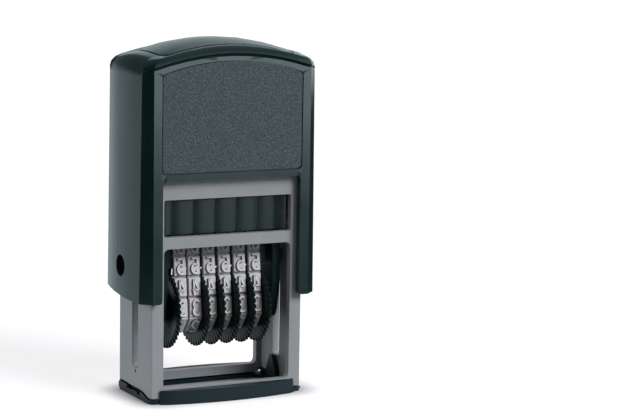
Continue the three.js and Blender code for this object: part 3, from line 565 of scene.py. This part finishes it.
# %% [markdown]
# On the belt stands one block to a cell. Its top is drawn in a little, as rubber leaves its mould
# more easily so, and that puts a thin line of light round each cell. One block is made and set
# on a row of points at the pitch. It is marked as stiff for the bend.
# %% The blocks
SUNK = 0.05 * MM  # how far one part reaches into the one below it
CHAMFER = 0.1 * MM
SIDE_PLAY = 0.04 * MM
DRAWN_IN = 0.95
block_length = add(tree, MATH, [pitch, given["Cell gap"]], operation="SUBTRACT")
foot = add(tree, MATH, [given["Belt top"], SUNK], operation="SUBTRACT")
height = add(tree, MATH, [given["Cell top"], foot], operation="SUBTRACT")
block_height = add(tree, MATH, [height, CHAMFER], operation="SUBTRACT")
block_width = add(tree, MATH, [given["Width"], SIDE_PLAY], operation="SUBTRACT")
size = add(tree, COMBINE, [block_width, block_length, block_height])
block = add(tree, "GeometryNodeMeshCube", {"Size": size, "Vertices Y": 5})
is_top = add(tree, MATH, [facing["Z"], ALONG], operation="GREATER_THAN")
raised = add(tree, "GeometryNodeExtrudeMesh", {
    "Mesh": block, "Selection": is_top, "Offset Scale": CHAMFER, "Individual": False,
}, mode="FACES").outputs
drawn_in = add(tree, "GeometryNodeScaleElements", {
    "Geometry": raised["Mesh"], "Selection": raised["Top"], "Scale": DRAWN_IN,
}, domain="FACE")
stiff_block = add(tree, "GeometryNodeStoreNamedAttribute", {
    "Geometry": drawn_in, "Name": "stiff", "Value": True,
}, data_type="BOOLEAN", domain="POINT")
middle = add(tree, MATH, [block_height, 0.5, foot], operation="MULTIPLY_ADD")
places = add(tree, "GeometryNodeMeshLine", {
    "Count": given["Cells"],
    "Start Location": add(tree, COMBINE, [half_width, 0, middle]),
    "Offset": add(tree, COMBINE, [0, pitch, 0]),
})
blocks = add(tree, "GeometryNodeInstanceOnPoints", {"Points": places, "Instance": stiff_block})
print("blocks on the belt:", CELLS)

# %% [markdown]
# The type stands on the blocks. A square nib is drawn along the strokes of the digits, from just
# inside the blocks up to the path, as an engraver's cutter would go. Its faces are marked for
# paler rubber, a painted light, and its walls are marked once more for painted shade.
# %% The type
strokes = add(tree, "GeometryNodeMeshToCurve", [drawn["Selection"]])
finer = add(tree, "GeometryNodeSubdivideCurve", {0: strokes, "Cuts": 1})
upright = add(tree, "GeometryNodeSetCurveNormal", {"Curve": finer}, mode="Z_UP")
relief = add(tree, MATH, [SUNK, given["Cell top"]], operation="SUBTRACT")
nib = add(tree, "GeometryNodeCurvePrimitiveQuadrilateral", {
    "Width": given["Nib"], "Height": relief,
})
swept = add(tree, "GeometryNodeCurveToMesh", {
    "Curve": upright, "Profile Curve": nib, "Fill Caps": True,
})
middle = add(tree, MATH, [relief, -0.5], operation="MULTIPLY")
centre = add(tree, COMBINE, [half_width, 0, middle])
digits = add(tree, "GeometryNodeTransform", {"Geometry": swept, "Translation": centre})
upwards = add(tree, MATH, [facing["Z"]], operation="ABSOLUTE")
is_wall = add(tree, MATH, [upwards, ALONG], operation="LESS_THAN")
# The type is marked for its paler rubber, a painted light, and its walls as flanks for painted
# shade
for mark, value, domain in (
    ("stiff", True, "POINT"), ("type", True, "FACE"), ("flank", is_wall, "FACE"),
):
    digits = add(tree, "GeometryNodeStoreNamedAttribute", {
        "Geometry": digits, "Name": mark, "Value": value,
    }, data_type="BOOLEAN", domain=domain)
print("nodes so far:", len(tree.nodes))

# %% [markdown]
# Now every point is bent round the path: Sample Curve gives the place and the direction at a
# length along it, and the cross product of that direction with X points out of the band.
#
# A cell keeps its shape on the wheel, so all of a stiff cell follows its own middle, and its
# points go straight on from there. Only the cells next to the printing end give way, because the
# corners there are tighter than a cell. The bend turns the flat parts inside out, so their faces
# are turned back at the end.
# %% The bend
place = add(tree, "ShaderNodeSeparateXYZ", [add(tree, "GeometryNodeInputPosition")]).outputs
cells_along = add(tree, MATH, [place["Y"], pitch], operation="DIVIDE")
cell = add(tree, MATH, [cells_along], operation="ROUND")
GIVING = 1.5  # cells on each side of the printing end's middle that give way
after_nose = add(tree, MATH, [cell, GIVING], operation="GREATER_THAN")
last_stiff = add(tree, MATH, [given["Cells"], GIVING], operation="SUBTRACT")
before_nose = add(tree, MATH, [cell, last_stiff], operation="LESS_THAN")
is_stiff = add(tree, "GeometryNodeInputNamedAttribute", {"Name": "stiff"}, data_type="BOOLEAN")
off_nose = add(tree, MATH, [after_nose, before_nose], operation="MULTIPLY")
whole = add(tree, MATH, [off_nose, is_stiff], operation="MULTIPLY")
cell_middle = add(tree, MATH, [cell, pitch], operation="MULTIPLY")
off_middle = add(tree, MATH, [place["Y"], cell_middle], operation="SUBTRACT")
straight_on = add(tree, MATH, [whole, off_middle], operation="MULTIPLY")
shifted = add(tree, MATH, [place["Y"], given["Shift"]], operation="ADD")
along = add(tree, MATH, [shifted, straight_on], operation="SUBTRACT")
wrapped = add(tree, MATH, [along, length], operation="FLOORED_MODULO")
sample = add(tree, "GeometryNodeSampleCurve", {
    "Curves": path, "Length": wrapped,
}, mode="LENGTH", use_all_curves=True).outputs
across = add(tree, VECTOR_MATH, [sample["Tangent"], (1, 0, 0)], operation="CROSS_PRODUCT")
out = add(tree, VECTOR_MATH, [across], operation="NORMALIZE")
beside = add(tree, MATH, [place["X"], given["Left edge"]], operation="ADD")
position = sample["Position"]
for axis, distance in (
    ((1, 0, 0), beside), (sample["Tangent"], straight_on), (out, place["Z"]),
):
    step = add(tree, COMBINE, [distance] * 3)
    position = add(tree, VECTOR_MATH, [axis, step, position], operation="MULTIPLY_ADD")

flat = add(tree, "GeometryNodeJoinGeometry")
for part in (belt, blocks, digits):
    tree.links.new(part.outputs[0], flat.inputs[0])
real = add(tree, "GeometryNodeRealizeInstances", [flat])
moved = add(tree, "GeometryNodeSetPosition", {"Geometry": real, "Position": position})
BELT_WELD = 0.002 * MM
welded = add(tree, "GeometryNodeMergeByDistance", {"Geometry": moved, "Distance": BELT_WELD})
turned = add(tree, "GeometryNodeFlipFaces", [welded])
# Paler type is painted light; the darker flanks and web are painted shade
end_tree(tree, turned, [
    (given["Rubber"], None), (given["Type"], "type"), (given["Flank"], "flank"),
    (given["Web"], "web"),
])
band_tree = tree

# %% [markdown]
# The six bands share one tree and one plan, and differ only in where their left edge is, which
# the solids give. Shift moves all the cells along the path.
# %% Six bands
for index in range(1, 7):
    node = f"number_band_{index}"
    low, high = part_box(node)
    band = grown(band_plan(high.z / MM - REACH), band_tree, f"digit_band_{index}", {
        "Cells": CELLS, "Shift": -0.8 * MM, "Left edge": low.x, "Width": high.x - low.x,
        "Belt top": -1 * MM, "Belt bottom": -1.2 * MM,
        "Cell gap": 0.5 * MM, "Cell top": -0.5 * MM, "Nib": 0.34 * MM,
        # The type's rubber is paler as painted light, the flanks' and the web's darker as painted
        # shade
        "Rubber": BAND_RUBBER, "Type": PAINTED_LIGHT_TYPE_RUBBER, "Flank": PAINTED_SHADE_FLANK_RUBBER, "Web": PAINTED_SHADE_WEB_RUBBER,
    })
    dress(band, None, "print_unit", node)
    print(f"{band.name}: {len(band.data.polygons)} faces")

# %% [markdown]
# A thumbwheel is moulded in one piece: a bored drum that carries a band, and a thin disc beside
# it whose edge is cut into forty rounded teeth for the finger, with shallow ribs that run on a
# little way over both faces. Cutting forty notches one by one would be slow. Here the wheel is
# turned as on a lathe, and this is the profile that is carried round.
# %% The profile of a thumbwheel
RIM = 7.6
DISC = 0.5


def wheel_profile(width, disc_side):
    """The wheel cut through its axis: a mesh of bare points, listed as (across, out) in mm."""
    drum, bore, hub, rim_in = 3.8, 1.5, 2.5, 6.1
    slope, dish, faint_dish = 0.2, 0.12, 0.02
    chamfer, edge, corner = 0.08, 0.12, 0.04
    inner = width - DISC
    points = [
        (chamfer, bore), (width - chamfer, bore), (width, bore + chamfer),
        # the disc's outer face: a hub, a shallow dish and a flat rim
        (width, hub), (width - dish, hub + slope), (width - dish, rim_in - slope),
        (width, rim_in), (width, RIM - edge), (width - corner, RIM - corner),
        # its edge and its inner face
        (width - edge, RIM), (inner + edge, RIM), (inner + corner, RIM - corner),
        (inner, RIM - edge), (inner, rim_in), (inner + faint_dish, rim_in - slope),
        (inner, drum + slope),
        # the drum
        (inner, drum), (chamfer, drum), (0, drum - chamfer), (0, bore + chamfer),
    ]
    if disc_side < 0:
        points = [(width - across, out) for across, out in points]
    mesh = bpy.data.meshes.new("wheel_profile")
    mesh.from_pydata([(across * MM, 0, out * MM) for across, out in points], [], [])
    return mesh


print("a wheel is", 2 * RIM, "mm across")

# %% [markdown]
# The tree is the lathe. A grid has one column for each point of the profile and one row for each
# step of the turn, and its last column and row are the first again, welded. Sample Index reads
# the profile's point, and the row gives the angle.
#
# A wave with forty crests, a cosine raised so that its valleys are narrow and its crests broad,
# tells each point at the rim how far to sink, and each point of the ribs how far to go inwards.
# %% The lathe


def on_circle(tree, angle, radius):
    """The two coordinates of a point on a circle: the radius times the angle's cosine and sine."""
    shares = [add(tree, MATH, [angle], operation=kind) for kind in ("COSINE", "SINE")]
    return [add(tree, MATH, [radius, share], operation="MULTIPLY") for share in shares]


tree, given = new_tree(
    "knurled_wheel", Int="Teeth, Steps", Vector="Centre", Material="Plastic",
    Float="Tooth depth, Tooth root, Rib depth, Rib start, Middle",
)
stations = add(tree, "GeometryNodeAttributeDomainSize", [given["Geometry"]])
turns = add(tree, MATH, [given["Teeth"], given["Steps"]], operation="MULTIPLY")
grid = add(tree, "GeometryNodeMeshGrid", {
    "Size X": 1, "Size Y": 1,
    "Vertices X": add(tree, MATH, [stations, 1], operation="ADD"),
    "Vertices Y": add(tree, MATH, [turns, 1], operation="ADD"),
})
here = add(tree, "GeometryNodeInputPosition")
place = add(tree, "ShaderNodeSeparateXYZ", [here]).outputs
share = add(tree, MATH, [place["X"], 0.5], operation="ADD")
columns = add(tree, MATH, [share, stations], operation="MULTIPLY")
column = add(tree, MATH, [columns], operation="ROUND")
profile = add(tree, "GeometryNodeSampleIndex", {
    "Geometry": given["Geometry"], "Value": here,
    "Index": add(tree, MATH, [column, stations], operation="MODULO"),
}, data_type="FLOAT_VECTOR")
point = add(tree, "ShaderNodeSeparateXYZ", [profile]).outputs

angle = add(tree, MATH, [place["Y"], 2 * math.pi], operation="MULTIPLY")
teeth_on = add(tree, MATH, [angle, given["Teeth"]], operation="MULTIPLY")
swing = add(tree, MATH, [teeth_on], operation="COSINE")
wave = add(tree, MATH, [swing, 0.5, 0.5], operation="MULTIPLY_ADD")
valley = add(tree, MATH, [wave, 2], operation="POWER")
is_rim = add(tree, MATH, [point["Z"], given["Tooth root"]], operation="GREATER_THAN")
rim_valley = add(tree, MATH, [valley, is_rim], operation="MULTIPLY")
sink = add(tree, MATH, [rim_valley, given["Tooth depth"]], operation="MULTIPLY")
out = add(tree, MATH, [point["Z"], sink], operation="SUBTRACT")
is_rib = add(tree, MATH, [point["Z"], given["Rib start"]], operation="GREATER_THAN")
rib_valley = add(tree, MATH, [valley, is_rib], operation="MULTIPLY")
dip = add(tree, MATH, [rib_valley, given["Rib depth"]], operation="MULTIPLY")
off_middle = add(tree, MATH, [point["X"], given["Middle"]], operation="SUBTRACT")
side = add(tree, MATH, [off_middle], operation="SIGN")
inwards = add(tree, MATH, [side, dip], operation="MULTIPLY")
across = add(tree, MATH, [point["X"], inwards], operation="SUBTRACT")
up, back = on_circle(tree, angle, out)
turned = add(tree, COMBINE, [across, back, up])
centred = add(tree, VECTOR_MATH, [turned, given["Centre"]], operation="ADD")
moved = add(tree, "GeometryNodeSetPosition", {"Geometry": grid, "Position": centred})
RIM_WELD = 0.001 * MM
welded = add(tree, "GeometryNodeMergeByDistance", {"Geometry": moved, "Distance": RIM_WELD})
end_tree(tree, welded, [(given["Plastic"], None)])
wheel_tree = tree

# %% [markdown]
# The first wheel has its disc on the left and the others on the right, so that a disc stands on
# each side of the row. Each wheel rides on its own body and turns about its axle.
# %% Six thumbwheels
TEETH = 40
STEPS_PER_TOOTH = 8

for index in range(1, 7):
    node = f"thumbwheel_{index}"
    low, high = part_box(node)
    width = (high.x - low.x) / MM
    disc_side = -1 if index == 1 else 1
    middle = DISC / 2 if disc_side < 0 else width - DISC / 2
    profile = wheel_profile(width, disc_side)
    wheel = grown(profile, wheel_tree, f"knurled_wheel_{index}", {
        "Teeth": TEETH, "Steps": STEPS_PER_TOOTH, "Tooth depth": 0.5 * MM, "Tooth root": 7 * MM,
        "Rib depth": 0.07 * MM, "Rib start": 7.3 * MM, "Middle": middle * MM,
        "Centre": (low.x, (low.y + high.y) / 2, (low.z + high.z) / 2), "Plastic": WHEEL_ABS,
    })
    face_outwards(wheel)
    dress(wheel, None, f"wheel_{index}", node)
    print(f"{wheel.name}: {len(wheel.data.polygons)} faces, {width:.1f} mm wide")

# %% [markdown]
# The return spring is wound from round wire, with a closed turn at each end so that it stands
# flat. The path is a formula, an angle that grows evenly and a height that starts and ends
# slowly, so the tree moves a row of points onto it and sweeps a circle along.
# %% The winding of a spring
tree, given = new_tree(
    "wound_spring", Int="Points", Material="Steel",
    Float="Turns, Mean radius, Wire radius, Low, High, Closed share",
)
row = add(tree, "GeometryNodeMeshLine", {"Count": given["Points"]})
steps = add(tree, MATH, [given["Points"], 1], operation="SUBTRACT")
share = add(tree, MATH, [add(tree, "GeometryNodeInputIndex"), steps], operation="DIVIDE")
turns = add(tree, MATH, [share, given["Turns"]], operation="MULTIPLY")
angle = add(tree, MATH, [turns, 2 * math.pi], operation="MULTIPLY")
eased = add(tree, "ShaderNodeMapRange", {
    "Value": share, "From Min": given["Closed share"],
    "From Max": add(tree, MATH, [1, given["Closed share"]], operation="SUBTRACT"),
}, interpolation_type="SMOOTHSTEP")
total = add(tree, MATH, [share, eased], operation="ADD")
climb = add(tree, MATH, [total, 0.5], operation="MULTIPLY")
rise = add(tree, MATH, [given["High"], given["Low"]], operation="SUBTRACT")
height = add(tree, MATH, [climb, rise, given["Low"]], operation="MULTIPLY_ADD")
turned = add(tree, COMBINE, [
    *on_circle(tree, angle, given["Mean radius"]), height,
])
moved = add(tree, "GeometryNodeSetPosition", {"Geometry": row, "Position": turned})
wire = add(tree, "GeometryNodeCurvePrimitiveCircle", {
    "Resolution": 14, "Radius": given["Wire radius"],
})
swept = add(tree, "GeometryNodeCurveToMesh", {
    "Curve": add(tree, "GeometryNodeMeshToCurve", [moved]),
    "Profile Curve": wire, "Fill Caps": True,
})
end_tree(tree, swept, [(given["Steel"], None)])

# %% [markdown]
# The spring fills the place of its solid, between the deck and the roof of the cap. When the cap
# comes down the spring shortens.
# %% The return spring
WIRE_RADIUS = 0.45
MEAN_RADIUS = 3.9
TURNS = 6
POINTS_PER_TURN = 32
CLOSED_TURNS = 0.25  # at each end

low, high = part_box("return_spring")
spring = grown(bpy.data.meshes.new("nothing_yet"), tree, "coil_spring", {
    "Turns": float(TURNS), "Points": TURNS * POINTS_PER_TURN + 1,
    "Mean radius": MEAN_RADIUS * MM, "Wire radius": WIRE_RADIUS * MM,
    "Low": low.z + WIRE_RADIUS * MM, "High": high.z - WIRE_RADIUS * MM,
    "Closed share": CLOSED_TURNS / TURNS, "Steel": STEEL,
})
face_outwards(spring)
dress(spring, None, "frame", "return_spring")
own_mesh(spring)
print(f"{spring.name}: {len(spring.data.polygons)} faces, {(high.z - low.z) / MM:.1f} mm long")

# %% [markdown]
# The camera looks from 25 degrees round to the left, a little above, and about 40 cm away. The
# picture's frame is wider than the stamp, so the lens is shifted instead of the camera being
# turned, which would change the perspective.
# %% Camera
AIM = Vector((0, 0, 30 * MM))
CAMERA_AZIMUTH, CAMERA_ELEVATION, CAMERA_ROLL = -25.2, 8.75, 0.58
CAMERA_DISTANCE = 393 * MM


def direction(azimuth, elevation):
    """The unit vector towards a place, by its azimuth from the front and its elevation."""
    a, e = math.radians(azimuth), math.radians(elevation)
    return Vector((math.sin(a) * math.cos(e), -math.cos(a) * math.cos(e), math.sin(e)))


camera = new_object("camera", bpy.data.cameras.new("camera"))
back = direction(CAMERA_AZIMUTH, CAMERA_ELEVATION)
turn = (-back).to_track_quat("-Z", "Y").to_matrix().to_4x4()
roll = Matrix.Rotation(math.radians(CAMERA_ROLL), 4, "Z")
camera.matrix_world = Matrix.Translation(AIM + back * CAMERA_DISTANCE) @ (turn @ roll)
camera.data.sensor_width = 36
camera.data.lens = 119
camera.data.shift_x = 0.160
camera.data.shift_y = 0.0424
camera.data.clip_start = 10 * MM
camera.data.clip_end = 10
camera.data.dof.use_dof = False
bpy.context.scene.camera = camera
bpy.context.scene.view_settings.view_transform = "Standard"
print("the camera stands at", [round(value / MM) for value in camera.location], "mm")

# %% [markdown]
# Three wide suns light the stamp: one from the front right, one low on the left and one from
# above and behind. The share of each says how bright it alone makes white card that faces it.
# They are balanced so that card that faces the front or the sky gets about one in all, the level
# at which a colour comes out about as it is written. Gloss doesn't show them: it gets cards.
# %% Lamps


def soft_sun(name, azimuth, elevation, share, spread):
    """A sun as wide as a soft box, spread degrees across; returns its share as a vector."""
    towards = direction(azimuth, elevation)
    lamp = bpy.data.lights.new(name, "SUN")
    lamp.energy = share * math.pi
    lamp.angle = math.radians(spread)
    holder = new_object(name, lamp)
    holder.rotation_euler = towards.to_track_quat("Z", "Y").to_euler()
    holder.visible_glossy = False
    return towards * share


suns = [
    soft_sun("key", 28, 33, 1, 30),
    soft_sun("side", -94, 15, 0.44, 40),
    soft_sun("top", 160, 70, 0.25, 60),
]
print("shares of the suns:", [round(sun.length, 2) for sun in suns])

# %% [markdown]
# A black gloss shows its form only by what it mirrors, so a studio bends cards round it: black
# ones, called flags, give dark edges, and bright ones soft bands of light. Each card here is a
# profile swung about the stamp's axis, and only glossy rays see it. Where its light should fade,
# its brightness follows a curve: by the distance from the middle or, on a canopy, by the height.
# %% Cards for the gloss
CARD_STEPS = 16
CARD_WHITE = linear("#e6f9ff")
CANOPY_RADIUS = 600


def card(name, azimuths, profile_mm, glow, by_height=False):
    """A card between two azimuths, with a profile of (distance, height) in mm.

    glow is one brightness, or stops (mm, brightness) that a curve joins.
    """
    first, last = azimuths
    corners = []
    for step in range(CARD_STEPS + 1):
        a = math.radians(first + (last - first) * step / CARD_STEPS)
        for reach, height in profile_mm:
            corners.append((math.sin(a) * reach * MM, -math.cos(a) * reach * MM, height * MM))
    count = len(profile_mm)
    faces = [
        (row + at, row + count + at, row + count + at + 1, row + at + 1)
        for row in range(0, CARD_STEPS * count, count) for at in range(count - 1)
    ]
    mesh = bpy.data.meshes.new(name)
    mesh.from_pydata(corners, [], faces)
    made = new_object(name, mesh)
    material, tree = new_material(name)
    if isinstance(glow, list):
        place = add(tree, "ShaderNodeTexCoord").outputs["Object"]
        if by_height:
            reach = add(tree, "ShaderNodeSeparateXYZ", [place]).outputs["Z"]
        else:
            reach = add(tree, VECTOR_MATH, [place], operation="LENGTH").outputs["Value"]
        end = glow[-1][0]
        top = max(value for _, value in glow)
        share = add(tree, MATH, [reach, 1 / (end * MM)], operation="MULTIPLY")
        curve = add(tree, "ShaderNodeFloatCurve", {"Value": share})
        points = curve.mapping.curves[0].points
        while len(points) < len(glow):
            points.new(0.5, 0.5)
        for point, (distance, value) in zip(points, glow):
            point.location = (distance / end, value / top)
        curve.mapping.update()
        glow = add(tree, MATH, [curve, top], operation="MULTIPLY")
    shine = add(tree, "ShaderNodeEmission", {"Color": CARD_WHITE, "Strength": glow})
    add(tree, "ShaderNodeOutputMaterial", {"Surface": shine})
    mesh.materials.append(material)
    for ray in ("camera", "diffuse", "shadow", "transmission", "volume_scatter"):
        setattr(made, "visible_" + ray, False)
    print(f"{name}: from {first} to {last} degrees, {len(faces)} faces")


def dome(low, high, steps=8):
    """The profile of a canopy between two elevations in degrees."""
    rises = [math.radians(low + (high - low) * step / steps) for step in range(steps + 1)]
    return [(CANOPY_RADIUS * math.cos(rise), CANOPY_RADIUS * math.sin(rise)) for rise in rises]


# Dark: the edge between the front and the left side, and the right edge
card("flag_left", (-88, -6), [(90, 1), (150, 1), (150, 260)], 0.01)
card("flag_right", (92, 142), [(90, 1), (200, 1), (200, 45)], 0.03)
# The left side mirrors these two: brighter towards its back edge, fading where the side ends
card("side_back", (-162, -118), [(30, 1), (150, 1), (150, 84)], [
    (0, 0.68), (157, 0.68), (164, 0.45), (172, 0.15),
])
card("side_far", (-200, -162), [(30, 1), (150, 1), (150, 84)], [
    (0, 0.92), (157, 0.92), (164, 0.6), (172, 0.15),
])
# The front mirrors the table: dark near the stamp and bright further out, so it lightens upwards
card("table_front", (-6, 92), [(30, 1), (2800, 1)], [
    (0, 0.45), (380, 0.45), (430, 0.7), (470, 1), (510, 1.8), (550, 3), (600, 4.4), (2800, 4.4),
])
# The crown mirrors the canopy: a bright horizon behind it, a dark one to the left
card("canopy_right", (-20, 110), dome(26, 90), [
    (0, 0.65), (340, 0.65), (370, 0.38), (600, 0.38),
], by_height=True)
card("canopy_back", (110, 172), dome(8, 90), [
    (0, 0.85), (160, 0.85), (340, 0.7), (420, 0.38), (600, 0.38),
], by_height=True)
card("canopy_left", (172, 340), dome(8, 90), 0.15)

# %% [markdown]
# The room gives a little light from all round. Where the camera looks, and where gloss or glass
# would show the room, there is plain white instead, at a strength of 1, so a Light Path node
# tells one kind of ray from the other. The floor below asks the same question.
# %% World


def seen_directly(tree):
    """1 where a camera, glossy or transmitted ray looks, and 0 where light only bounces."""
    path = add(tree, "ShaderNodeLightPath").outputs
    seen = path["Is Camera Ray"]
    for ray in ("Is Glossy Ray", "Is Transmission Ray"):
        seen = add(tree, MATH, [seen, path[ray]], operation="MAXIMUM")
    return seen


ROOM = 0.2
world = bpy.data.worlds.new("studio")
bpy.context.scene.world = world
world.use_nodes = True
sky = world.node_tree
sky.nodes.clear()
room, backdrop = [
    add(sky, "ShaderNodeBackground", {"Color": linear("#ffffff"), "Strength": strength})
    for strength in (ROOM, 1)
]
either = add(sky, "ShaderNodeMixShader", [seen_directly(sky), room, backdrop])
add(sky, "ShaderNodeOutputWorld", {"Surface": either})
for side, outwards in (("front", (0, -1, 0)), ("left", (-1, 0, 0)), ("sky", (0, 0, 1))):
    light = ROOM + sum(max(sun.dot(Vector(outwards)), 0) for sun in suns)
    print(f"white card that faces the {side} gets {light:.2f}")

# %% [markdown]
# The floor is white paper. Paper that is only lit never renders quite white, so it also glows a
# little where it is seen. The glow starts beside the stamp and is full a few millimetres further
# out: a painted shadow, which keeps the paper dark under the stamp and darkens it softly round
# it. For light that bounces, the paper is a plain grey, so that it doesn't light the stamp from
# below.
# %% Floor
HALF_SPAN = 4  # metres
UNDER = 5 * MM  # how far inside the stamp's footprint the glow begins
FADE = 8 * MM
FULL_GLOW = 0.7

mesh = bpy.data.meshes.new("floor")
corners = [(x * HALF_SPAN, y * HALF_SPAN, 0) for x, y in ((-1, -1), (1, -1), (1, 1), (-1, 1))]
mesh.from_pydata(corners, [], [(0, 1, 2, 3)])
floor = new_object("floor", mesh)
# Uncoated paper: white, without any gloss
paper, tree = new_material("floor_white_paper")
place = add(tree, "ShaderNodeTexCoord").outputs["Object"]
beside = add(tree, VECTOR_MATH, [place], operation="ABSOLUTE")
core = (cad_high.x - UNDER, cad_high.y - UNDER, 0)
past = add(tree, VECTOR_MATH, [beside, core], operation="SUBTRACT")
outside = add(tree, VECTOR_MATH, [past, (0, 0, 0)], operation="MAXIMUM")
gap = add(tree, VECTOR_MATH, [outside], operation="LENGTH").outputs["Value"]
# The glow fades out towards the stamp: a painted soft shadow round it and under it
clear = add(tree, "ShaderNodeMapRange", {
    "Value": gap, "From Max": FADE, "To Max": FULL_GLOW,
}, interpolation_type="SMOOTHSTEP")
glow = add(tree, "ShaderNodeEmission", {"Color": linear("#ffffff"), "Strength": clear})
matt = add(tree, "ShaderNodeBsdfDiffuse", {"Color": linear("#7f7f7f")})
shaded = add(tree, "ShaderNodeBsdfDiffuse", {"Color": linear("#9d9ba1")})
lit_paper = add(tree, "ShaderNodeAddShader", [shaded, glow])
either = add(tree, "ShaderNodeMixShader", [seen_directly(tree), matt, lit_paper])
add(tree, "ShaderNodeOutputMaterial", {"Surface": either})
mesh.materials.append(paper)
bare = [node for node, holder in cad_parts.items() if not holder.hide_render]
print("solids left showing:", bare)
